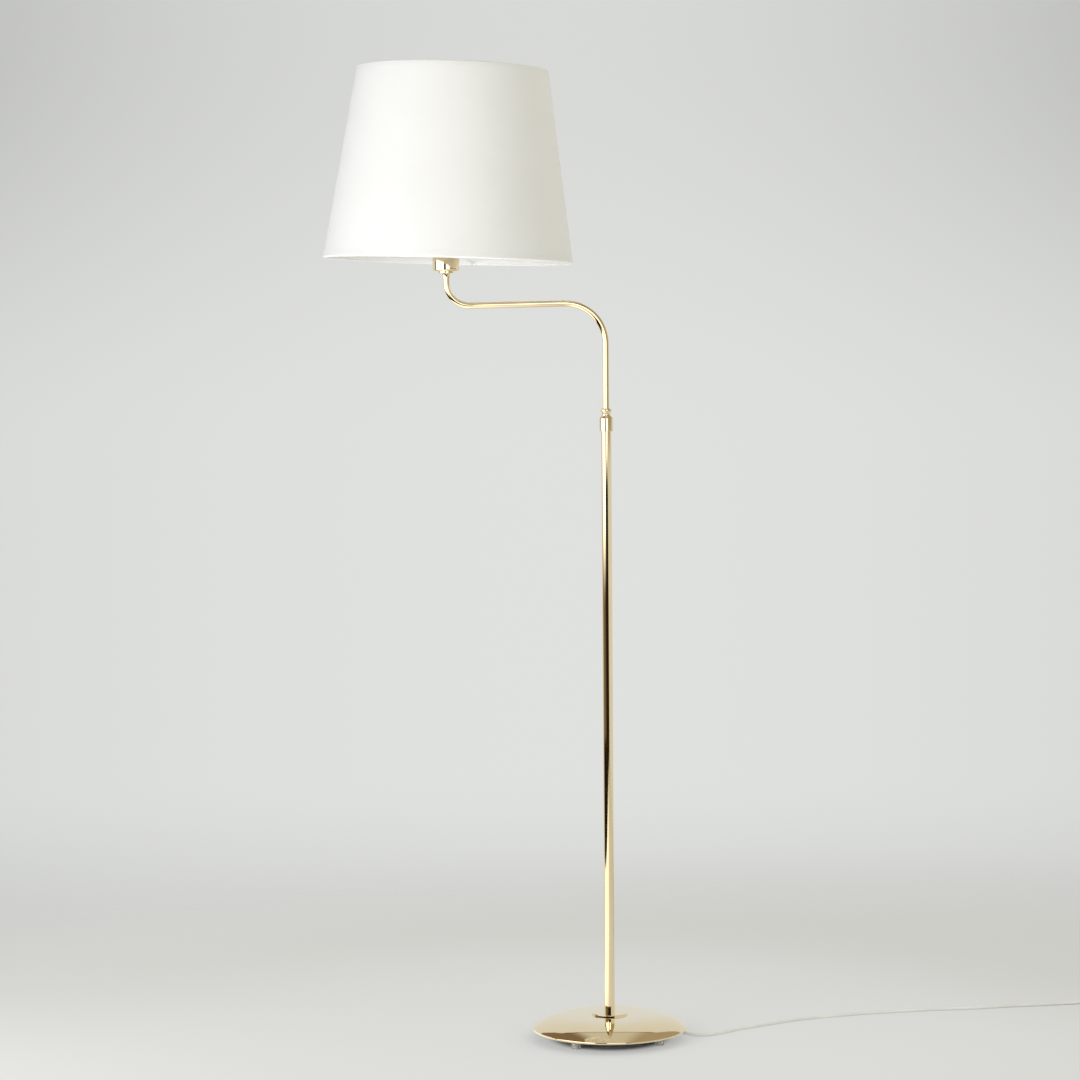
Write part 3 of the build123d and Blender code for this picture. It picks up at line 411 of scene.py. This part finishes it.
class LAMP_OT_polish_brass(LampOperator, bpy.types.Operator):
    """Polish the base, stem, clamp, arm and lampholder cup"""

    bl_idname = "lamp.polish_brass"
    bl_label = "Polish the brass"

    def build(self, lamp):
        spun = polished_brass("brass_spun", lamp.brass, spun_lines)
        paint_nodes(spun, "base_shell", "base_disc")
        drawn = polished_brass("brass_drawn", lamp.brass, drawn_lines)
        paint_nodes(drawn, "stem_tube", "arm_tube")
        turned = polished_brass("brass_turned", lamp.brass, turned_lines)
        paint_nodes(turned, "collar_sleeve", "clamp_nut", "collet", "neck_collar", "holder_cup")
        paint_nodes(turned, "neck_grub_screw", "bush_ring", "tube_end_stop")
        paint_nodes(turned, "holder_shell", "centre_contact", "terminal_screws")


class LAMP_OT_cover_shade(LampOperator, bpy.types.Operator):
    """Cover the shade's hoops with woven fabric, hemmed at both rims and glued at one seam"""

    bl_idname = "lamp.cover_shade"
    bl_label = "Cover the shade"

    def build(self, lamp):
        shade = lamp.shade
        slope = (shade.bottom_radius - shade.top_radius) / shade.height
        slant = math.hypot(1, slope)
        mesh = self.fabric(shade, slope, slant)
        # The shade's axis leans towards the stem about its bottom rim's middle
        low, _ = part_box("shade_skin")
        rim_x = shade.bottom_radius * math.cos(shade.lean)
        rim_z = shade.bottom_radius * math.sin(shade.lean)
        middle = Matrix.Translation((low.x + rim_x, 0.0, low.z + rim_z))
        mesh.transform(middle @ Matrix.Rotation(shade.lean, 4, "Y"))
        mesh.materials.append(woven_fabric("shade_weave", shade))
        piece = new_piece("shade_fabric", mesh, "arm", "shade_fabric", "shade_skin")

    def fabric(self, shade, slope, slant):
        """Mesh of the fabric on its upright axis, with a map of its weave in metres."""
        rows = self.section(shade)
        work = bmesh.new()
        columns = []
        for column in range(shade.columns):
            angle = 2 * math.pi * column / shade.columns
            ring = []
            for depth, up, lift in rows:
                proud = lift * self.overlap(angle, shade)
                radius = shade.bottom_radius - slope * up - (depth - proud) * slant
                ring.append(work.verts.new((radius * math.cos(angle), radius * math.sin(angle), up)))
            columns.append(ring)
        weave = work.loops.layers.uv.new("weave")
        lengths = [0.0]
        for (depth, up, _), (next_depth, next_up, _) in zip(rows, rows[1:] + rows[:1]):
            lengths.append(lengths[-1] + math.hypot(next_depth - depth, next_up - up))
        mean_radius = (shade.bottom_radius + shade.top_radius) / 2
        around = 2 * math.pi * mean_radius / shade.columns
        for column in range(shade.columns):
            left, right = columns[column], columns[(column + 1) % shade.columns]
            for row in range(len(rows)):
                above = (row + 1) % len(rows)
                face = work.faces.new((left[row], right[row], right[above], left[above]))
                face.smooth = True
                places = ((column, row), (column + 1, row), (column + 1, row + 1), (column, row + 1))
                for loop, (c, r) in zip(face.loops, places):
                    loop[weave].uv = (c * around, lengths[r])
        bmesh.ops.recalc_face_normals(work, faces=work.faces)
        mesh = bpy.data.meshes.new("shade_fabric")
        work.to_mesh(mesh)
        work.free()
        return mesh

    def overlap(self, angle, shade):
        """How far the fabric stands proud at the seam, as a share of the seam's lift."""
        away = abs((angle - shade.seam_angle + math.pi) % (2 * math.pi) - math.pi) * shade.bottom_radius
        return max(0.0, min(1.0, (shade.seam_width / 2 - away) / shade.seam_edge + 0.5))

    def section(self, shade):
        """Closed section of the fabric: depth behind its face, height and how far the seam lifts it."""
        face_steps, turn_steps, back_steps = 40, 8, 24
        turned_in = 0.0006
        hem_edge = 0.0004
        behind_hoop = 0.002
        clear_of_hem = 0.004
        rim_gap = 0.0001
        low, high = shade.hoop_inset, shade.height - shade.hoop_inset
        wrap, wrap_height = shade.hoop_depth, shade.hoop_inset - rim_gap
        inner = wrap * 2 - turned_in
        back, hem_back = shade.thickness, shade.thickness + turned_in
        turns = [math.pi * step / turn_steps for step in range(1, turn_steps)]
        face_shares = [step / face_steps for step in range(face_steps + 1)]
        rows = [(0.0, low + (high - low) * share, shade.seam_lift) for share in face_shares]
        rows += [(wrap - wrap * math.cos(turn), high + wrap_height * math.sin(turn), 0.0) for turn in turns]
        rows += [(inner, high, 0.0), (inner, high - behind_hoop, 0.0)]
        rows += [(hem_back, high - shade.hem, 0.0), (back, high - shade.hem - hem_edge, 0.0)]
        top, bottom = high - shade.hem - clear_of_hem, low + shade.hem + clear_of_hem
        back_shares = [step / back_steps for step in range(back_steps + 1)]
        rows += [(back, top + (bottom - top) * share, 0.0) for share in back_shares]
        rows += [(back, low + shade.hem + hem_edge, 0.0), (hem_back, low + shade.hem, 0.0)]
        rows += [(inner, low + behind_hoop, 0.0), (inner, low, 0.0)]
        rows += [(wrap + wrap * math.cos(turn), low - wrap_height * math.sin(turn), 0.0) for turn in turns]
        return rows


class LAMP_OT_dress_shade_frame(LampOperator, bpy.types.Operator):
    """Paint the shade's hoops, wires and centre ring"""

    bl_idname = "lamp.dress_shade_frame"
    bl_label = "Paint the shade's wires"

    def build(self, lamp):
        white = moulded(
            "white_enamel", (0.82, 0.82, 0.80), dull=(0.76, 0.755, 0.73), roughness=0.28, scale=300.0,
            depth=0.00004, Coat_Weight=0.3,
        )
        paint_nodes(white, "spider_arms", "shade_fitter", "shade_bottom_ring", "shade_top_ring")


class LAMP_OT_dress_lampholder(LampOperator, bpy.types.Operator):
    """Finish the lampholder's porcelain, sleeve and ring nuts, and the fixings and mouldings like them"""

    bl_idname = "lamp.dress_lampholder"
    bl_label = "Dress the lampholder"

    def build(self, lamp):
        glaze = moulded(
            "porcelain_glaze", (0.86, 0.85, 0.81), dull=(0.80, 0.785, 0.73), roughness=0.10, scale=60.0,
            depth=0.00006, Coat_Weight=0.6,
        )
        paint_nodes(glaze, "holder_body")
        black = moulded(
            "black_moulding", (0.022, 0.021, 0.020), dull=(0.035, 0.033, 0.031), roughness=0.34
        )
        paint_nodes(black, "holder_sleeve", "shade_ring_lower", "shade_ring_upper")
        paint_nodes(black, "switch_knob", "cord_outlet")
        plated = plain_metal("plated_steel", (0.60, 0.60, 0.585), dull=(0.48, 0.475, 0.45), roughness=0.24)
        paint_nodes(plated, "holder_washer", "holder_locknut", "switch_spindle")
        paint_nodes(plated, "feet_screws", "outlet_screws", "base_washer", "base_nut")
        paint_nodes(plated, "stem_nipple", "stem_foot_plug")
        natural = moulded("natural_plastic", (0.74, 0.735, 0.70), dull=(0.68, 0.67, 0.63), roughness=0.45)
        paint_nodes(natural, "guide_bush")


class LAMP_OT_dress_bulb(LampOperator, bpy.types.Operator):
    """Frost the bulb and finish its cap"""

    bl_idname = "lamp.dress_bulb"
    bl_label = "Dress the bulb"

    def build(self, lamp):
        frosted = moulded(
            "frosted_glass", (0.92, 0.92, 0.905), dull=(0.88, 0.88, 0.87), roughness=0.32, scale=500.0,
            depth=0.00002, Transmission_Weight=0.1, IOR=1.5,
        )
        paint_nodes(frosted, "bulb_glass")
        cap = plain_metal("bulb_cap_metal", (0.72, 0.715, 0.69), dull=(0.60, 0.59, 0.56), roughness=0.22)
        paint_nodes(cap, "bulb_cap")


class LAMP_OT_dress_base_inside(LampOperator, bpy.types.Operator):
    """Finish the cast weight and the dark plate under the dome"""

    bl_idname = "lamp.dress_base_inside"
    bl_label = "Dress the inside of the base"

    def build(self, lamp):
        cast = moulded(
            "cast_iron", (0.055, 0.053, 0.05), dull=(0.09, 0.082, 0.075), roughness=0.62, scale=240.0,
            depth=0.0003,
        )
        paint_nodes(cast, "base_weight")
        plate = moulded(
            "black_paint", (0.020, 0.020, 0.020), dull=(0.032, 0.031, 0.030), roughness=0.46, scale=700.0,
            depth=0.00005,
        )
        paint_nodes(plate, "base_plate")


class LAMP_OT_dress_feet(LampOperator, bpy.types.Operator):
    """Finish the clear button feet"""

    bl_idname = "lamp.dress_feet"
    bl_label = "Dress the feet"

    def build(self, lamp):
        clear = moulded(
            "clear_button", (0.90, 0.89, 0.86), dull=(0.85, 0.835, 0.79), roughness=0.10, scale=120.0,
            depth=0.00003, Transmission_Weight=0.75, IOR=1.46,
        )
        paint_nodes(clear, "feet")


# Route of the cord on the floor, from the strain relief to its coil, in metres
CORD_ROUTE = (
    (0.101, 0.0, 0.011),
    (0.123, -0.002, 0.005),
    (0.149, 0.003, 0.0025),
    (0.176, 0.021, 0.0025),
    (0.204, 0.049, 0.0025),
    (0.246, 0.076, 0.0025),
    (0.300, 0.114, 0.0025),
    (0.351, 0.135, 0.0025),
    (0.410, 0.155, 0.0025),
    (0.469, 0.169, 0.0025),
    (0.528, 0.182, 0.0025),
    (0.588, 0.188, 0.0025),
    (0.649, 0.203, 0.0025),
    (0.708, 0.212, 0.0025),
    (0.764, 0.224, 0.0025),
)


class LAMP_OT_lay_cord(LampOperator, bpy.types.Operator):
    """Lay the cord on the floor, wind up what is spare, tie it and give it its plug"""

    bl_idname = "lamp.lay_cord"
    bl_label = "Lay the cord"

    def build(self, lamp):
        cord = lamp.cord
        relief_low, relief_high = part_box("cord_strain_relief")
        leaves = Vector((relief_high.x, 0.0, (relief_low.z + relief_high.z) / 2))
        points = [leaves, *CORD_ROUTE, *self.put_away(cord)]
        curve = bpy.data.curves.new("cord", "CURVE")
        curve.dimensions = "3D"
        curve.bevel_depth = cord.diameter / 2
        curve.bevel_resolution = 5
        curve.resolution_u = 6
        curve.use_fill_caps = True
        spline = curve.splines.new("NURBS")
        spline.points.add(len(points) - 1)
        for point, co in zip(spline.points, points):
            point.co = (*co, 1.0)
        spline.order_u = 3
        spline.use_endpoint_u = True
        dull_share = 0.93
        dull = tuple(part * dull_share for part in cord.colour)
        soft = moulded("pale_cord", cord.colour, dull, roughness=0.30, scale=200.0, depth=0.00004)
        curve.materials.append(soft)
        piece = new_piece("cord", curve, "stand", "pale_cord", "power_cord", "cord_coil", "cord_tail")
        paint_nodes(soft, "cord_strain_relief", "stem_wire", "arm_wire")
        ivory = moulded("ivory_plug", (0.78, 0.75, 0.67), dull=(0.74, 0.70, 0.61), roughness=0.26)
        paint_nodes(ivory, "plug_body", "cord_tie")
        pins = plain_metal("nickel_pins", (0.72, 0.70, 0.66), dull=(0.62, 0.60, 0.56), roughness=0.16)
        paint_nodes(pins, "plug_pins")

    def put_away(self, cord):
        """Points of what is spare: a run into the coil, the coil and its tail to the plug."""
        low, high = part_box("cord_coil")
        outer = cord.coil_radius + cord.coil_turns * cord.coil_step
        radius = cord.diameter / 2
        middle = Vector((high.x - outer - radius, high.y - outer - radius, low.z + radius))
        first = middle + Vector((0.0, outer, 0.0))
        last = middle + Vector((outer, -cord.diameter, cord.coil_step))
        run_in_shares = (6, 1)
        points = [first - Vector((share * cord.diameter, 0.0, 0.0)) for share in run_in_shares]
        points += self.coil(cord, middle, outer)
        plug_low, plug_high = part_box("plug_body")
        plug_end = Vector(((plug_low.x + plug_high.x) / 2, plug_high.y, (plug_low.z + plug_high.z) / 2))
        run = Vector((0.0, (last.y - plug_end.y) / 3, 0.0))
        return points + [last, last - run, plug_end + run, plug_end]

    def coil(self, cord, middle, outer):
        """Points of a coil that winds in on the floor and out again on top."""
        per_turn, climb_turns = 24, 0.5
        # The curve touches the lines between its points, so the points lie a little further out
        lift = 1 / math.cos(math.pi / per_turn)
        last = 2 * cord.coil_turns
        count = round(last * per_turn)
        points = []
        for number in range(count + 1):
            turns = number / per_turn
            angle = math.pi / 2 - 2 * math.pi * turns
            inward = turns if turns <= cord.coil_turns else last - turns
            radius = (outer - cord.coil_step * inward) * (1.0 if number in (0, count) else lift)
            climb = min(max((turns - cord.coil_turns) / climb_turns + 0.5, 0), 1)
            z = cord.coil_step * (1 - math.cos(math.pi * climb)) / 2
            points.append(middle + Vector((radius * math.cos(angle), radius * math.sin(angle), z)))
        return points


class LAMP_OT_set_stage(LampOperator, bpy.types.Operator):
    """Make the floor, the studio light and the camera"""

    bl_idname = "lamp.set_stage"
    bl_label = "Set the stage"

    def build(self, lamp):
        stage = lamp.stage
        self.floor(stage)
        self.world(stage)
        white = (1.0, 0.985, 0.95)
        self.panel(
            "left_softbox", start=(-2.0, 0.0), end=(-0.95, -2.13), foot=0.52, full_at=0.80,
            colour=white, strength=3.0,
        )
        self.panel(
            "front_strip", start=(-0.26, -2.5), end=(1.02, -2.28), foot=0.74, full_at=0.88,
            colour=white, strength=2.4,
        )
        self.panel(
            "right_room", start=(1.30, -2.0), end=(2.4, 0.2), foot=0.80, full_at=0.92,
            colour=stage.room_right, strength=1.0,
        )
        self.mirrored_floor(stage)
        self.light(
            "key", position=(-2.3, -2.1, 1.1), aim=(-0.1, 0.0, 1.0), size=2.0,
            power=stage.key_power, spread=180,
        )
        self.light(
            "bounce", position=(-0.55, -0.95, 0.3), aim=(-0.18, 0.1, 1.35), size=0.7,
            power=stage.bounce_power, spread=100,
        )
        self.camera(stage)
        bpy.context.scene.view_settings.view_transform = "Standard"

    def floor(self, stage):
        """A round floor that fades into the backdrop, is painted darker behind the lamp as painted shade, and
        glows round the base as painted light that lightens the base's shadow.
        """
        edge_radius, edge_corners = 6.0, 96
        mesh = bpy.data.meshes.new("floor")
        work = bmesh.new()
        bmesh.ops.create_circle(work, cap_ends=True, segments=edge_corners, radius=edge_radius)
        work.to_mesh(mesh)
        work.free()
        material, paint = new_material("studio_floor")
        point = place(paint)
        # Each pair is where a change starts and where it is whole, in metres
        fade_middle, fades = (0.3, -1.0, 0.0), (1.7, 2.9)
        # Painted shade: the floor's colour darkens towards the back, behind the lamp
        darkens, floor_painted_shade_share = (-0.15, 0.45), 0.065
        glows, glow_ends, glow_share = (0.075, 0.10), (1.0, 0.35), 0.55
        fade = ranged(paint, distance_from(paint, point, fade_middle), *fades)
        behind = parts_of(paint, point)[1]
        tone = mixed(paint, ranged(paint, behind, *darkens) * floor_painted_shade_share, stage.floor, SHADE_BLACK)
        matt = shader(paint, Base_Color=tone, Roughness=1.0, Specular_IOR_Level=0.0)
        from_stem = distance_from(paint, point, STEM_FOOT)
        # Painted light: emission mixed in round the stem's foot lightens the base's shadow on the floor
        painted_light_share = ranged(paint, from_stem, *glows) * ranged(paint, from_stem, *glow_ends) * glow_share
        glow = paint.make("ShaderNodeEmission", None, {"Color": full(stage.glow)})
        matt = paint.make("ShaderNodeMixShader", None, {0: painted_light_share, 1: matt, 2: glow})
        clear = paint.make("ShaderNodeBsdfTransparent")
        from_below = paint.make("ShaderNodeNewGeometry", output="Backfacing")
        see_through = paint.math("MAXIMUM", fade, from_below)
        surface = paint.make("ShaderNodeMixShader", None, {0: see_through, 1: matt, 2: clear})
        paint.make("ShaderNodeOutputMaterial", None, {"Surface": surface})
        mesh.materials.append(material)
        self.add("floor", mesh)

    def mirrored_floor(self, stage):
        """Unlit floor of the room in front and the key light's pool, seen only in reflections."""
        just_above = 0.002
        edge = [(-1.72, 0.3), (-1.35, -1.1), (-0.85, -2.1), (0.0, -3.0)]
        unlit = edge + [(1.3, -3.2), (1.3, -3.6), (0.0, -3.8), (-1.9, -3.3), (-3.3, -1.9), (-3.8, 0.3)]
        self.glowing("room_floor", [(*corner, just_above) for corner in unlit], stage.room, strength=1.0)
        pool = edge + [(0.1, -0.3), (-0.3, 0.3)]
        warm, along_x, clear_at, full_at = (1.0, 0.965, 0.935), 0, 0.05, -0.35
        corners = [(*corner, just_above) for corner in pool]
        self.glowing("key_pool", corners, warm, strength=1.5, fading=(along_x, clear_at, full_at))

    def panel(self, name, start, end, foot, full_at, colour, strength):
        """An upright panel that fades in from its foot, seen only in reflections."""
        top, along_z = 2.4, 2
        corners = [(*start, foot), (*end, foot), (*end, top), (*start, top)]
        self.glowing(name, corners, colour, strength, fading=(along_z, foot, full_at))

    def glowing(self, name, corners, colour, strength, fading=None):
        """A flat light seen only in reflections, which may fade in along one axis."""
        mesh = bpy.data.meshes.new(name)
        mesh.from_pydata(corners, [], [range(len(corners))])
        material, paint = new_material(name)
        surface = paint.make("ShaderNodeEmission", None, {"Color": full(colour), "Strength": strength})
        if fading:
            axis, clear_at, full_at = fading
            share = ranged(paint, parts_of(paint, place(paint))[axis], clear_at, full_at)
            clear = paint.make("ShaderNodeBsdfTransparent")
            surface = paint.make("ShaderNodeMixShader", None, {0: share, 1: clear, 2: surface})
        paint.make("ShaderNodeOutputMaterial", None, {"Surface": surface})
        mesh.materials.append(material)
        self.only_reflected(self.add(name, mesh))

    def only_reflected(self, thing):
        """Hide a thing from all but reflections."""
        thing.visible_camera = False
        thing.visible_diffuse = False
        thing.visible_transmission = False
        thing.visible_shadow = False
        thing.visible_volume_scatter = False

    def add(self, name, mesh):
        """A piece of the stage."""
        thing = bpy.data.objects.new(name, mesh)
        bpy.context.scene.collection.objects.link(thing)
        return thing

    def world(self, stage):
        """Backdrop for the camera, a studio with an unlit front for reflections, even light for the rest."""
        world = bpy.data.worlds.new("studio")
        bpy.context.scene.world = world
        world.use_nodes = True
        world.node_tree.nodes.clear()
        paint = Value(world.node_tree)
        direction = parts_of(paint, paint.make("ShaderNodeTexCoord", output="Generated"))
        x, y, z = direction
        azimuth = paint.math("ARCTAN2", x, 0.0 - y)
        level = paint.math("ARCSINE", z)
        left_to_right = (-0.7, 0.7)
        fill = mixed(paint, ranged(paint, x, *left_to_right), stage.fill_left, stage.fill_right)
        pale = self.backdrop(paint, stage, azimuth, level)
        mirrored = self.studio(paint, stage, direction, azimuth, level)
        backdrop = paint.make("ShaderNodeBackground", None, {"Color": pale})
        studio = paint.make("ShaderNodeBackground", None, {"Color": mirrored})
        even = paint.make("ShaderNodeBackground", None, {"Color": fill, "Strength": stage.fill_strength})
        camera_ray = paint.make("ShaderNodeLightPath", output="Is Camera Ray")
        glossy_ray = paint.make("ShaderNodeLightPath", output="Is Glossy Ray")
        through_ray = paint.make("ShaderNodeLightPath", output="Is Transmission Ray")
        lit = paint.make("ShaderNodeMixShader", None, {0: glossy_ray, 1: even, 2: studio})
        shown = paint.math("MAXIMUM", camera_ray, through_ray)
        surface = paint.make("ShaderNodeMixShader", None, {0: shown, 1: lit, 2: backdrop})
        paint.make("ShaderNodeOutputWorld", None, {"Surface": surface})

    def studio(self, paint, stage, direction, azimuth, level):
        """What reflections show: the backdrop, the room beside and above it and the unlit room in front."""
        x, y, z = direction
        # Each pair is where a change starts and where it is whole: slopes for the backdrop's edges and
        # the dark line over it, then parts of the direction, then angles for the unlit room
        side_edge, top_edge, line_edge = (0.68, 0.74), (1.34, 1.42), (1.66, 1.44)
        over_floor, to_right, to_left = (0.28, 0.45), (0.14, 0.36), (-0.14, -0.34)
        front_left, front_right, front_top = (-1.95, -1.75), (0.62, 0.40), (0.95, 0.75)
        left_to_front = (-1.3, -0.25)
        within_sides, line_share, least_ahead = (0.5, 0.0), 0.35, 0.001
        ahead = paint.math("MAXIMUM", y, least_ahead)
        aside = ranged(paint, paint.math("ABSOLUTE", x) / ahead, *side_edge)
        up = z / ahead
        over = ranged(paint, up, *top_edge)
        outside = paint.math("MAXIMUM", aside, over) * ranged(paint, z, *over_floor)
        above = mixed(paint, ranged(paint, x, *to_right), stage.ceiling, stage.room_right)
        above = mixed(paint, ranged(paint, x, *to_left), above, stage.room_left)
        seen = mixed(paint, outside, stage.wall, above)
        line = over * ranged(paint, up, *line_edge) * ranged(paint, aside, *within_sides)
        seen = mixed(paint, line * line_share, seen, stage.room)
        front = ranged(paint, azimuth, *front_left) * ranged(paint, azimuth, *front_right)
        front = front * ranged(paint, level, *front_top)
        room = mixed(paint, ranged(paint, azimuth, *left_to_front), stage.room_left, stage.room)
        return mixed(paint, front, seen, room)

    def backdrop(self, paint, stage, azimuth, level):
        """Pale backdrop with painted shade: a little darker in its upper corners and where it meets the
        floor.
        """
        # Angles, and pairs of angles where a change starts and where it is whole
        half_view, most_aside = 0.174, 1.1
        upper, foot = (-0.03, 0.105), (-0.135, -0.180)
        upper_share, side_share, corner_share, foot_share = 0.08, 0.06, 0.14, 0.10
        aside = paint.math("MINIMUM", (math.pi - paint.math("ABSOLUTE", azimuth)) / half_view, most_aside)
        high = ranged(paint, level, *upper)
        low = ranged(paint, level, *foot) * foot_share
        # Painted shade darkens the backdrop in its upper corners, towards its sides and at its foot
        dark = high * upper_share + aside * aside * (high * corner_share + side_share) + low
        return mixed(paint, dark, stage.wall, SHADE_BLACK)

    def light(self, name, position, aim, size, power, spread):
        """A round soft light that neither the camera nor reflections show."""
        data = bpy.data.lights.new(name, "AREA")
        data.shape = "DISK"
        data.size = size
        data.energy = power
        data.spread = math.radians(spread)
        lamp = bpy.data.objects.new(name, data)
        lamp.location = position
        lamp.rotation_euler = (Vector(aim) - Vector(position)).to_track_quat("-Z", "Y").to_euler()
        lamp.visible_camera = False
        lamp.visible_glossy = False
        bpy.context.scene.collection.objects.link(lamp)

    def camera(self, stage):
        """The camera, a little to the left of the stem and a little lower than the arm's level run."""
        data = bpy.data.cameras.new("camera")
        data.lens = stage.lens
        data.sensor_width = 36.0
        camera = bpy.data.objects.new("camera", data)
        stands_at = Matrix.Translation((-0.1027, -4.752, 1.0607))
        look = Matrix.Rotation(math.pi / 2 - stage.pitch, 4, "X") @ Matrix.Rotation(stage.roll, 4, "Z")
        camera.matrix_world = stands_at @ look
        bpy.context.scene.collection.objects.link(camera)
        bpy.context.scene.camera = camera


OPERATORS = (
    LAMP_OT_polish_brass,
    LAMP_OT_cover_shade,
    LAMP_OT_dress_shade_frame,
    LAMP_OT_dress_lampholder,
    LAMP_OT_dress_bulb,
    LAMP_OT_dress_base_inside,
    LAMP_OT_dress_feet,
    LAMP_OT_lay_cord,
    LAMP_OT_set_stage,
)


class LAMP_PT_sidebar(bpy.types.Panel):
    """Lists the lamp's operators and settings"""

    bl_idname = "LAMP_PT_sidebar"
    bl_label = "Floor lamp"
    bl_space_type = "VIEW_3D"
    bl_region_type = "UI"
    bl_category = "Lamp"

    def draw(self, context):
        lamp = context.scene.lamp
        for operator in OPERATORS:
            self.layout.operator(operator.bl_idname)
        for group in (lamp.brass, lamp.shade, lamp.cord, lamp.stage):
            box = self.layout.box()
            for name in group.__annotations__:
                box.prop(group, name)


CLASSES = (
    LampBrassSettings,
    LampShadeSettings,
    LampCordSettings,
    LampStageSettings,
    LampSettings,
    *OPERATORS,
    LAMP_PT_sidebar,
)


def register():
    for cls in CLASSES:
        bpy.utils.register_class(cls)
    bpy.types.Scene.lamp = PointerProperty(type=LampSettings)


def unregister():
    del bpy.types.Scene.lamp
    for cls in reversed(CLASSES):
        bpy.utils.unregister_class(cls)


def main():
    register()
    bpy.ops.lamp.polish_brass()
    bpy.ops.lamp.cover_shade()
    bpy.ops.lamp.dress_shade_frame()
    bpy.ops.lamp.dress_lampholder()
    bpy.ops.lamp.dress_bulb()
    bpy.ops.lamp.dress_base_inside()
    bpy.ops.lamp.dress_feet()
    bpy.ops.lamp.lay_cord()
    bpy.ops.lamp.set_stage()


if __name__ == "__main__":
    main()
